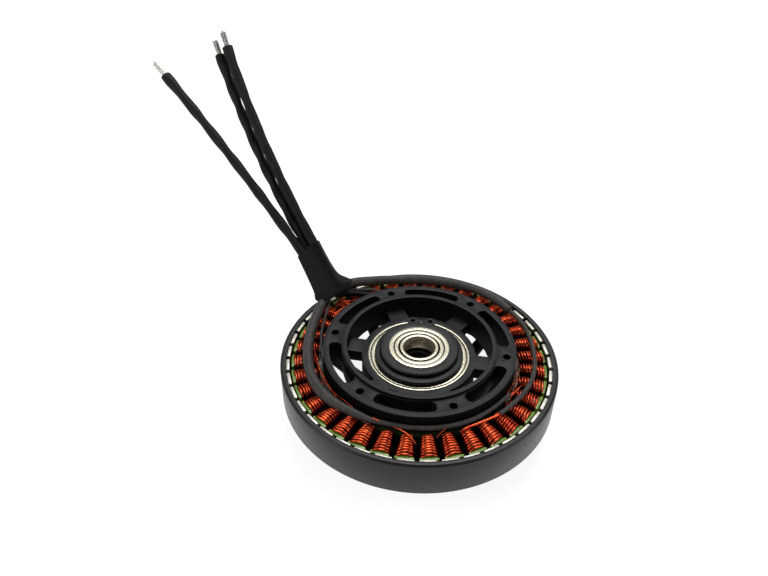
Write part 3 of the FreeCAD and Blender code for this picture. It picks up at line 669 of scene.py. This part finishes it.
# %% One coil
WIDTHS = (1.60, 1.66, 1.74, 1.83, 1.94, 2.07, 2.22, 2.38, 2.50)
DROPS = (0.3, 0.05, 0, 0, 0, 0, 0.06, 0.18, 0.4)
FOOT_SPREAD, HEAD_SPREAD = 0.35, 0.55
SAG_CHANCE, TILT_CHANCE, WIDTH_CHANCE = 0.1, 0.02, 0.06
LEAN, LEAN_CHANCE = 0.12, 0.06
FILL_TURNS, FILL_OFFSET, FILL_LEAN, FILL_LEAN_CHANCE = 2, 0.4, 0.1, 0.03


def wound_coil(seed):
    """Wind one coil on the tooth along +X."""
    chance = random.Random(seed)
    first = COIL_FOOT - FOOT_SPREAD + WIRE / 2
    last = COIL_HEAD + HEAD_SPREAD - WIRE / 2
    pitch = (last - first) / (len(WIDTHS) - 1)
    turns = []
    for number, (width, drop) in enumerate(zip(WIDTHS, DROPS)):
        along = first + pitch * number
        sag = chance.uniform(0, SAG_CHANCE)
        height = coil_height(along) - STACK_MIDDLE - WIRE / 2 - drop - sag
        tilt = chance.uniform(-TILT_CHANCE, TILT_CHANCE)
        lean = LEAN + chance.uniform(-LEAN_CHANCE, LEAN_CHANCE)
        width += chance.uniform(-WIDTH_CHANCE, WIDTH_CHANCE)
        turns.append(wire_turn(along, width, height, (tilt, lean)))
    for number in range(FILL_TURNS):
        lean = FILL_LEAN + chance.uniform(-FILL_LEAN_CHANCE, FILL_LEAN_CHANCE)
        height = (core_top - core_bottom) / 2 + WIRE / 2
        along = first + pitch * (number + FILL_OFFSET)
        turns.append(wire_turn(along, WIDTHS[0], height, (0, lean)))
    return joined(turns, "wound_coil")


# %% [markdown]
# The wire is clear red enamel on copper, so it mirrors the light in red. Deep between the wires
# the real coils look almost black in shade, and their inner ends lie in shade too. So the height
# decides how much painted shade is mixed into the colour, and near the axis it counts for less.

# %% A finish with painted shade
SHADE_SLOPE, SHADE_REACH = 0.5, 35.5
SHADE_BELOW, SHADE_ABOVE = 1.6, 0.9


def height_from_foot(nodes, links, coordinates):
    """Return the height, lowered towards the inner ends of the coils."""
    near = nodes.new("ShaderNodeMath")
    near.operation = "MINIMUM"
    near.inputs[1].default_value = SHADE_REACH * MM
    links.new(axis_distance(nodes, links, coordinates), near.inputs[0])
    lowered = nodes.new("ShaderNodeMath")
    lowered.operation = "MULTIPLY_ADD"
    lowered.inputs[1].default_value = SHADE_SLOPE
    links.new(near.outputs["Value"], lowered.inputs[0])
    links.new(height_of(nodes, links, coordinates), lowered.inputs[2])
    return lowered.outputs["Value"]


def painted_shade_finish(name, dark, light, painted_shade, measure, start, end, grain, rough, relief, metal, coating):
    """Make a finish that turns to a painted shade where a measure falls from its end to its start."""
    material, nodes, links, shader, coordinates = start_finish(name)
    pattern = grain_of(nodes, links, coordinates, grain)
    ramp = follow(nodes, links, pattern, shader, dark, light, rough, relief)
    reach = nodes.new("ShaderNodeMapRange")
    reach.inputs["From Min"].default_value = start * MM
    reach.inputs["From Max"].default_value = end * MM
    links.new(measure(nodes, links, coordinates), reach.inputs["Value"])
    mix = nodes.new("ShaderNodeMix")
    mix.data_type = "RGBA"
    mix.inputs["A"].default_value = (*painted_shade, 1)
    links.new(reach.outputs["Result"], mix.inputs["Factor"])
    links.new(ramp.outputs["Color"], mix.inputs["B"])
    links.new(mix.outputs["Result"], shader.inputs["Base Color"])
    shader.inputs["Metallic"].default_value = metal
    shader.inputs["Coat Weight"].default_value = coating
    return material


# Low between the wires and at the coils' inner ends, the enamel is mixed with painted shade.
shade_level = core_top + SHADE_SLOPE * SHADE_REACH
enamel = painted_shade_finish(
    "red_enamel", dark=(0.42, 0.028, 0.010), light=(0.80, 0.125, 0.036), painted_shade=(0.035, 0.002, 0.0012),
    measure=height_from_foot, start=shade_level - SHADE_BELOW, end=shade_level + SHADE_ABOVE,
    grain=420, rough=(0.18, 0.3), relief=0.1, metal=0.9, coating=0.08)
print("wire finish:", enamel.name)

# %% [markdown]
# The 36 teeth take three phases, in pairs of neighbours. Two coils are wound for each phase, one
# for either tooth of a pair, then copied round the core. Each copy is turned and applied before
# the next, so that its place is in its mesh.

# %% Coils of the three phases
TOOTH_COUNT, FIRST_TOOTH = 36, -3.43
TOOTH_TURN = 360 / TOOTH_COUNT
PHASE_STEP = 6
COIL_SEED = 21


def turned_copies(piece, turns):
    """Copy a piece round the motor axis, each copy turned and applied, and delete the first one."""
    copies = []
    for turn in turns:
        activate(piece)
        bpy.ops.object.duplicate()
        copy = bpy.context.object
        copy.rotation_euler = (0, 0, math.radians(turn))
        settle()
        copies.append(copy)
    activate(piece)
    bpy.ops.object.delete()
    return copies


for phase, letter in enumerate("abc"):
    coils = []
    for half in range(2):
        start = 2 * phase + half
        turns = [FIRST_TOOTH + TOOTH_TURN * tooth for tooth in range(start, TOOTH_COUNT, PHASE_STEP)]
        coils += turned_copies(wound_coil(COIL_SEED + start), turns)
    winding = joined(coils, f"phase_{letter}_winding")
    bpy.ops.object.shade_smooth()
    coat(winding, enamel)
    complete(winding, "stator", "enamelled_wire", f"phase_{letter}_coils")

# %% [markdown]
# ## Link wires
# A bare link runs over the front coils from the end of the thin sleeve, and strands lie loose
# between the hub and the windings, where the coils are joined. They are thin cords of the same
# enamelled wire.

# %% Link wire
LINK_DIAMETER = 0.8
LINK_ROUTE = [(34.0, -43.0, 0.3), (33.9, -45.6, 0.2), (33.0, -56, 0), (33.1, -65.4, 0), (33.3, -67.2, -0.7)]


def laid_cord(name, route, diameter, lobe, pitch, fineness, sides):
    """Lay a thin cord along a route on top of the coils."""
    line = smooth_line(on_coils(route, diameter), fineness)
    return tube_along(name, line, twisted(diameter, lobe, pitch, 0), sides)


link = laid_cord("front_link", LINK_ROUTE, LINK_DIAMETER, lobe=0, pitch=0.01, fineness=16, sides=10)
coat(link, enamel)
complete(link, "stator", "enamelled_wire", "link_wire")

# %% Loose strands
STRAND_DIAMETER = 0.36
STRANDS = [
    [(33.7, 179.4, 0.2), (32.7, 189, 0.2), (31.7, 199, 0.3), (31.5, 215.9, 0.3), (31.2, 224.7, 0.8),
     (31.0, 230.3, 1.0), (31.4, 237, 0.5)],
    [(33.0, 186, -0.5), (32.5, 192.3, 0.3), (31.9, 204.6, 0.5), (31.7, 213.1, 0.5), (31.6, 222, 0.2)],
    [(31.3, 239, 0.9), (31.5, 242.3, 1.3), (31.7, 245.5, 1.4), (31.7, 248.5, 1.35), (31.8, 251.3, 1.3)],
    [(33.8, 151.6, -0.4), (33.9, 145.8, 0.6), (33.2, 138, 0.5), (32.6, 132, -0.5)],
    [(36.2, 147.0, -0.6), (36.0, 141.0, 0.8), (34.8, 134, 0.3), (34.0, 129, -0.6)],
    [(31.2, 244.4, 0.2), (31.0, 251.3, 0.2), (31.7, 258.3, 0.3), (32.5, 264.3, 0.3), (34.0, 268.5, 0.2),
     (35.7, 271.0, -0.8)],
    [(33.5, 281.0, -1.0), (32.4, 282.8, -0.1), (31.7, 286.1, 0.2)],
    [(31.2, 322.0, 0.2), (31.0, 333.8, 0.1), (31.0, 344.2, 0.1), (31.2, 354.4, 0.1), (31.6, 2.0, -0.8)],
    [(32.6, 328.0, -0.6), (32.2, 330.2, 0.1), (32.0, 336.4, 0.2), (31.7, 344.5, 0.2),
     (31.6, 351.6, -0.1)],
    [(32.2, 331.5, -0.5), (33.0, 337.9, 0.4), (34.0, 341.8, -0.1), (34.6, 344.5, -0.8)],
]
strands = [laid_cord("strand", route, STRAND_DIAMETER, lobe=0, pitch=0.01, fineness=12, sides=8)
           for route in STRANDS]
loose = joined(strands, "loose_strands")
coat(loose, enamel)
complete(loose, "stator", "enamelled_wire")

# %% [markdown]
# Beside the collar run two grey sleeves as thin as a wire. Next to them is a dark place that
# can't be made out. It is taken to be a short black sleeve over a joint, which hides most of the
# magnets there.

# %% Thin sleeves beside the collar
JOINT_DIAMETER, SIDE_DIAMETER = 1.9, 0.9
JOINT_ROUTE = [(39.6, 139.4, 0.6), (39.9, 135.6, 0.3), (37.9, 131.9, 0.1), (36.0, 128.1, 0),
               (34.1, 124.6, 0), (32.8, 121, -0.5)]
SIDE_ROUTES = [
    [(38.9, 144.3, 1.4), (37.3, 148.8, 0.3), (35.0, 157.6, 0), (33.3, 166.4, 0), (31.8, 175.6, 0),
     (31.4, 184, -0.3)],
    [(40.4, 134.6, 1.2), (39.0, 130.2, 1.0), (37.0, 125.0, 0.8), (35.6, 120.4, 0.7), (33.9, 116, 0.6),
     (32.2, 111.5, 0)],
]
joint = laid_cord("joint_sleeve", JOINT_ROUTE, JOINT_DIAMETER, lobe=0.05, pitch=0.02, fineness=16, sides=12)
coat(joint, lead_finish)
complete(joint, "stator", "harness_sleeve")
tubes = [laid_cord("side_sleeve", route, SIDE_DIAMETER, lobe=0.03, pitch=0.02, fineness=16, sides=10)
         for route in SIDE_ROUTES]
beside = joined(tubes, "side_sleeves")
coat(beside, sleeve_finish)
complete(beside, "stator", "harness_sleeve")


# %% [markdown]
# ## Machined pieces
# The hub, the spider, the core and the circlip take their shapes from the solids, but those edges
# are knife sharp. A real edge is always broken a little, and that thin bevel is what catches the
# light. So a copy of the solid is cleaned up, its flat faces merged, and its sharp edges bevelled
# by a modifier. The bevel takes the second finish, a little brighter, which is a painted highlight.
# The upright walls of the hub and the spider look almost black on the real motor, where they lie in
# shade, so they take a third finish, matt and darker, which is painted shade.

# %% A softened copy of a solid
MERGE_DISTANCE = 0.002
FLAT_ANGLE, SHARP_ANGLE = math.radians(0.5), math.radians(32)
MACHINED_EDGE = math.radians(28)
WALL_LIMIT = 0.5


def merged_copy(node, name):
    """Copy a solid's mesh, with its points and flat faces merged."""
    clear_selection()
    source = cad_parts[node]
    copy = source.copy()
    copy.data = source.data.copy()
    copy.name = name
    for key in list(copy.keys()):
        del copy[key]
    copy.parent = None
    bpy.context.scene.collection.objects.link(copy)
    activate(copy)
    bpy.ops.mesh.customdata_custom_splitnormals_clear()
    bpy.ops.object.mode_set(mode="EDIT")
    bpy.ops.mesh.select_all(action="SELECT")
    bpy.ops.mesh.remove_doubles(threshold=MERGE_DISTANCE * MM)
    bpy.ops.mesh.dissolve_limited(angle_limit=FLAT_ANGLE)
    bpy.ops.object.mode_set(mode="OBJECT")
    return copy


def soften(piece, width, *finishes):
    """Break a piece's sharp edges. The finishes are for faces, edges and, as a third, walls."""
    activate(piece)
    coat(piece, *finishes)
    edge = piece.modifiers.new("broken_edges", "BEVEL")
    edge.width = width * MM
    edge.segments = 2
    edge.limit_method = "ANGLE"
    edge.angle_limit = SHARP_ANGLE
    edge.material = 1
    bpy.ops.object.modifier_apply(modifier=edge.name)
    bpy.ops.object.shade_smooth_by_angle(angle=MACHINED_EDGE)
    # Upright faces take the third finish, which is painted shade.
    if len(finishes) == 3:
        for face in piece.data.polygons:
            if face.material_index == 0 and abs(face.normal.z) < WALL_LIMIT:
                face.material_index = 2


# %% Hub
HUB_BEVEL = 0.18
hub_finish = speckled(
    "hub_anodising", dark=(0.0052, 0.0057, 0.0072), light=(0.0102, 0.011, 0.0135),
    grain=1800, rough=(0.45, 0.6), relief=0.25, shine=0.25)
# The bevels of the machined pieces take this brighter finish as a painted highlight.
edge_highlight = speckled(
    "hub_edge_painted_highlight", dark=(0.022, 0.023, 0.025), light=(0.04, 0.041, 0.044),
    grain=900, rough=(0.4, 0.55), relief=0.2, metal=0.3, shine=0.3)
# Upright walls take this matt, darker finish as painted shade.
painted_shade_wall = speckled(
    "painted_shade_wall", dark=(0.0008, 0.0008, 0.001), light=(0.0022, 0.0022, 0.0026),
    grain=1500, rough=(0.6, 0.75), relief=0.25, shine=0.08)
hub = merged_copy("stator_hub", "hub_casting")
soften(hub, HUB_BEVEL, hub_finish, edge_highlight, painted_shade_wall)
complete(hub, "stator", "hub_alloy", "stator_hub")

# %% Spider
SPIDER_BEVEL = 0.15
spider_finish = turned_finish(
    "spider_anodising", dark=(0.0045, 0.0048, 0.0056), light=(0.0095, 0.010, 0.011),
    lines=2400, rough=(0.4, 0.55), relief=0.2, metal=0.1, shine=0.28)
spider = merged_copy("rotor_spider", "dished_spider")
soften(spider, SPIDER_BEVEL, spider_finish, edge_highlight, painted_shade_wall)
complete(spider, "rotor", "spider_alloy", "rotor_spider")

# %% [markdown]
# The core is coated green. It looks bright on the pole shoes and dark between the windings, where
# it lies in shade, so that shade is painted. The distance from the axis, spread over part of a
# millimetre, mixes the green with the painted shade.

# %% Core
CORE_BEVEL = 0.12
SHADE_FADE_START, SHADE_FADE_END = 39.0, 39.5
# Between the windings the green is mixed with painted shade.
core_finish = painted_shade_finish(
    "green_coat", dark=(0.115, 0.215, 0.02), light=(0.21, 0.36, 0.04), painted_shade=(0.018, 0.028, 0.008),
    measure=axis_distance, start=SHADE_FADE_START, end=SHADE_FADE_END,
    grain=500, rough=(0.3, 0.45), relief=0.25, metal=0.0, coating=0.2)
core = merged_copy("stator_core", "coated_core")
soften(core, CORE_BEVEL, core_finish, core_finish)
complete(core, "stator", "core_epoxy", "stator_core")

# %% [markdown]
# On the real motor the clip's ends stand closer together than in the solid. So both end faces of
# the copy are pulled towards the middle of the opening before its edges are broken.

# %% Circlip
CLIP_ANGLE, CLIP_OPENING, CLIP_SHIFT = math.radians(89), 2.4, 0.9
CLIP_BEVEL, END_LIMIT = 0.1, 0.02
# The clip's own dark finish, which also serves as painted shade deep in the bearing grooves.
clip_and_painted_shade = speckled(
    "phosphated_clip_and_painted_shade", dark=(0.008, 0.008, 0.009), light=(0.016, 0.016, 0.018),
    grain=2500, rough=(0.4, 0.55), relief=0.25, metal=0.2, shine=0.3)
to_side = Vector((math.sin(CLIP_ANGLE), -math.cos(CLIP_ANGLE), 0))
clip = merged_copy("circlip", "retaining_clip")


def on_end_face(spot, side):
    """Say whether a point lies on the clip's end face on one side of its opening."""
    from_end = spot.dot(to_side) / MM - side * CLIP_OPENING / 2
    return abs(from_end) < END_LIMIT and spot.y > 0


for side in (-1, 1):
    step = to_side * -side * CLIP_SHIFT * MM
    count = move_points(clip, lambda spot: on_end_face(spot, side), step)
    print("points of an end face:", count)
soften(clip, CLIP_BEVEL, clip_and_painted_shade, edge_highlight)
complete(clip, "rotor", "clip_steel", "circlip")

# %% [markdown]
# ## Magnets
# Forty-two plated bars are bonded inside the ring. One bar is a cube at its size and place with
# its edges bevelled, copied round. Only the tops of the real bars look pale. Below them the sides
# lie in shade and look almost black, so here too the height mixes in a painted shade.

# %% Magnet bars
MAGNET_COUNT, FIRST_MAGNET = 42, 1.56
MAGNET_SIZE = (0.95, 4.8, 8.4)
MAGNET_RADIUS, MAGNET_BEVEL = 41.42, 0.12
MAGNET_EDGE = math.radians(40)
PALE_DEPTH, BLACK_DEPTH = 0.25, 0.8
magnet_bottom, magnet_top = span("rotor_magnets")[1:]
# The plating turns to a painted shade on the sides below the tops of the bars.
magnet_finish = painted_shade_finish(
    "magnet_plating", dark=(0.66, 0.63, 0.55), light=(0.82, 0.79, 0.71), painted_shade=(0.03, 0.022, 0.014),
    measure=height_of, start=magnet_top - BLACK_DEPTH, end=magnet_top - PALE_DEPTH,
    grain=900, rough=(0.3, 0.45), relief=0.15, metal=0.25, coating=0.0)
bar_place = (MAGNET_RADIUS * MM, 0, (magnet_bottom + magnet_top) / 2 * MM)
clear_selection()
bpy.ops.mesh.primitive_cube_add(size=MM, location=bar_place)
bar = bpy.context.object
bpy.ops.object.mode_set(mode="EDIT")
bpy.ops.mesh.select_all(action="SELECT")
bpy.ops.transform.resize(value=MAGNET_SIZE)
bpy.ops.mesh.bevel(offset=MAGNET_BEVEL * MM, segments=2, affect="EDGES")
bpy.ops.object.mode_set(mode="OBJECT")
settle()
turns = [FIRST_MAGNET + 360 / MAGNET_COUNT * number for number in range(MAGNET_COUNT)]
magnets = joined(turned_copies(bar, turns), "magnet_bars")
bpy.ops.object.shade_smooth_by_angle(angle=MAGNET_EDGE)
coat(magnets, magnet_finish)
complete(magnets, "rotor", "magnet_plating", "rotor_magnets")


# %% [markdown]
# ## Turned rings
# The ring and the bearing races come off a lathe, and they can be made like that here too: a half
# section is drawn by extruding a single point from corner to corner, closed, its corners
# bevelled, and spun once round the axis.

# %% Lathe
SEAM_DISTANCE = 0.001


def lathe(name, section, broken, steps=160):
    """Spin a closed half section, given as radius and height, round the motor axis."""
    clear_selection()
    bpy.ops.mesh.primitive_plane_add(size=MM)
    piece = bpy.context.object
    piece.name = name
    bpy.ops.object.mode_set(mode="EDIT")
    bpy.ops.mesh.select_all(action="SELECT")
    bpy.ops.mesh.merge(type="CENTER")
    bpy.ops.transform.translate(value=(section[0][0] * MM, 0, section[0][1] * MM))
    for here, there in zip(section, section[1:]):
        step = ((there[0] - here[0]) * MM, 0, (there[1] - here[1]) * MM)
        bpy.ops.mesh.extrude_region_move(TRANSFORM_OT_translate={"value": step})
    bpy.ops.mesh.select_all(action="SELECT")
    bpy.ops.mesh.edge_face_add()
    bpy.ops.mesh.bevel(offset=broken * MM, segments=2, affect="VERTICES")
    bpy.ops.mesh.select_all(action="SELECT")
    bpy.ops.mesh.delete(type="ONLY_FACE")
    bpy.ops.mesh.select_all(action="SELECT")
    bpy.ops.mesh.spin(steps=steps, angle=2 * math.pi, center=(0, 0, 0), axis=(0, 0, 1))
    bpy.ops.mesh.select_all(action="SELECT")
    bpy.ops.mesh.remove_doubles(threshold=SEAM_DISTANCE * MM)
    bpy.ops.mesh.normals_make_consistent(inside=False)
    bpy.ops.object.mode_set(mode="OBJECT")
    bpy.ops.object.shade_smooth_by_angle(angle=MACHINED_EDGE)
    return piece


# %% Ring
RING_WALL, RING_CHAMFER = 1.8, 0.5
ring_bore = ring_radius - RING_WALL
ring_finish = turned_finish(
    "ring_coating", dark=(0.007, 0.007, 0.0075), light=(0.0135, 0.0135, 0.014),
    lines=3000, rough=(0.32, 0.44), relief=0.15, metal=0.1, shine=0.28)
ring_section = [(ring_bore, ring_bottom), (ring_radius, ring_bottom),
                (ring_radius, ring_top - RING_CHAMFER), (ring_radius - RING_CHAMFER, ring_top),
                (ring_bore, ring_top)]
ring = lathe("flux_ring", ring_section, broken=0.12, steps=220)
coat(ring, ring_finish)
complete(ring, "rotor", "ring_coating", "rotor_ring")

# %% [markdown]
# Between the front coils no floor shows through, so something dark closes the gap below the yoke,
# where shade falls. A dark end ring stands there as painted shade; such motors often have an end
# ring of varnished paper. It is spun like the other rings.

# %% End ring
PAPER_BORE, PAPER_RADIUS = 30.5, 32.1
paper_bottom, paper_top = core_bottom - 2.7, core_bottom - 0.02
paper_and_painted_shade = speckled(
    "varnished_paper_and_painted_shade", dark=(0.010, 0.007, 0.005), light=(0.02, 0.014, 0.01),
    grain=800, rough=(0.5, 0.65), relief=0.2, shine=0.2)
paper_section = [(PAPER_BORE, paper_bottom), (PAPER_RADIUS, paper_bottom),
                 (PAPER_RADIUS, paper_top), (PAPER_BORE, paper_top)]
end_ring = lathe("end_ring", paper_section, broken=0.2, steps=120)
coat(end_ring, paper_and_painted_shade)
complete(end_ring, "stator", "core_epoxy")

# %% [markdown]
# ## Bearings
# Each bearing shows a bright outer race, a thin dark groove, a pressed shield a little below the
# faces, another thin gap, and the inner race. Race and shield are one section with a groove cut
# into it. What lies deep in the groove is in shade and looks black on the real bearing, so it takes
# a dark finish as painted shade.

# %% Bearing races
GROOVE_WIDTH, GROOVE_DEPTH = 0.3, 1.0
steel = turned_finish(
    "ground_steel", dark=(0.36, 0.335, 0.25), light=(0.64, 0.61, 0.48),
    lines=5200, rough=(0.18, 0.3), relief=0.25)
bore_steel = speckled(
    "bored_steel", dark=(0.36, 0.31, 0.23), light=(0.78, 0.68, 0.52),
    grain=600, rough=(0.38, 0.5), relief=0.2, metal=0.9)


def shielded_race(name, race, outer, bottom, top, rim, sink):
    """Turn an outer race with a sunk shield on both faces."""
    edge = outer - rim
    lip = edge - GROOVE_WIDTH
    section = [(race, bottom + sink), (lip, bottom + sink), (lip, bottom + GROOVE_DEPTH),
               (edge, bottom + GROOVE_DEPTH), (edge, bottom), (outer, bottom),
               (outer, top), (edge, top), (edge, top - GROOVE_DEPTH),
               (lip, top - GROOVE_DEPTH), (lip, top - sink), (race, top - sink)]
    return lathe(name, section, broken=0.05)


def plain_race(name, bore, outer, bottom, top):
    """Turn an inner race with broken edges."""
    return lathe(name, [(bore, bottom), (outer, bottom), (outer, top), (bore, top)], broken=0.3)


print("race finishes:", steel.name, bore_steel.name)

# %% Bearings
SHIELD_GAP, DARK_DEPTH = 0.16, 0.25
OUTER_SKIN, BORE_SKIN = 0.1, 0.05
# Each bearing has its bore, its rim, the depth of its shields, the gap inside them, and two bodies.
BEARINGS = {
    "upper_thin": (12.5, 0.6, 0.1, 0, "stator", "rotor"),
    "lower_thin": (12.5, 0.6, 0.1, 0, "stator", "rotor"),
    "upper_axle": (5.0, 1.4, 0.12, 0.28, "rotor", "axle_races"),
    "lower_axle": (5.0, 1.4, 0.12, 0.28, "rotor", "axle_races"),
}
for bearing, (bore, rim, sink, inner_gap, outer_body, inner_body) in BEARINGS.items():
    outer, bottom, top = span(f"{bearing}_outer_race")
    race = span(f"{bearing}_inner_race")[0]
    shielded = shielded_race(f"{bearing}_bearing", race + SHIELD_GAP, outer, bottom, top, rim, sink)
    # Faces deep in the groove take the dark finish, which is painted shade.
    coat(shielded, steel, clip_and_painted_shade)
    for face in shielded.data.polygons:
        height = face.center.z / MM
        inside = face.center.to_2d().length < (outer - OUTER_SKIN) * MM
        if inside and bottom + DARK_DEPTH < height < top - DARK_DEPTH:
            face.material_index = 1
    complete(shielded, outer_body, "bearing_steel", f"{bearing}_outer_race")
    plain = plain_race(f"{bearing}_bearing_bore", bore, race - inner_gap, bottom, top)
    coat(plain, steel, bore_steel)
    for face in plain.data.polygons:
        if face.center.to_2d().length < (bore + BORE_SKIN) * MM:
            face.material_index = 1
    complete(plain, inner_body, "bearing_steel", f"{bearing}_inner_race")

# %% [markdown]
# Between the two axle bearings a tube keeps their inner races apart. Deep in the bore one sees a
# thin bright line. It is taken to be the edge of a step in that tube, so its mouth is bored a
# little wider and the step's edge is left bright.

# %% Axle tube
TUBE_BORE, STEP_BORE, STEP_DEPTH = 5.05, 5.5, 1.8
EDGE_ABOVE, EDGE_BELOW, EDGE_WIDTH = 0.01, 0.13, 0.14
tube_radius, tube_bottom, tube_top = span("axle_spacer")
tube_section = [(TUBE_BORE, tube_bottom), (tube_radius, tube_bottom), (tube_radius, tube_top),
                (STEP_BORE, tube_top), (STEP_BORE, tube_top - STEP_DEPTH),
                (TUBE_BORE, tube_top - STEP_DEPTH)]
tube = lathe("axle_tube", tube_section, broken=0.12)
coat(tube, clip_and_painted_shade, steel)
for face in tube.data.polygons:
    below = tube_top - face.center.z / MM
    beside_bore = face.center.to_2d().length < (TUBE_BORE + EDGE_WIDTH) * MM
    if beside_bore and STEP_DEPTH - EDGE_ABOVE < below < STEP_DEPTH + EDGE_BELOW:
        face.material_index = 1
complete(tube, "axle_races", "bearing_steel", "axle_spacer")
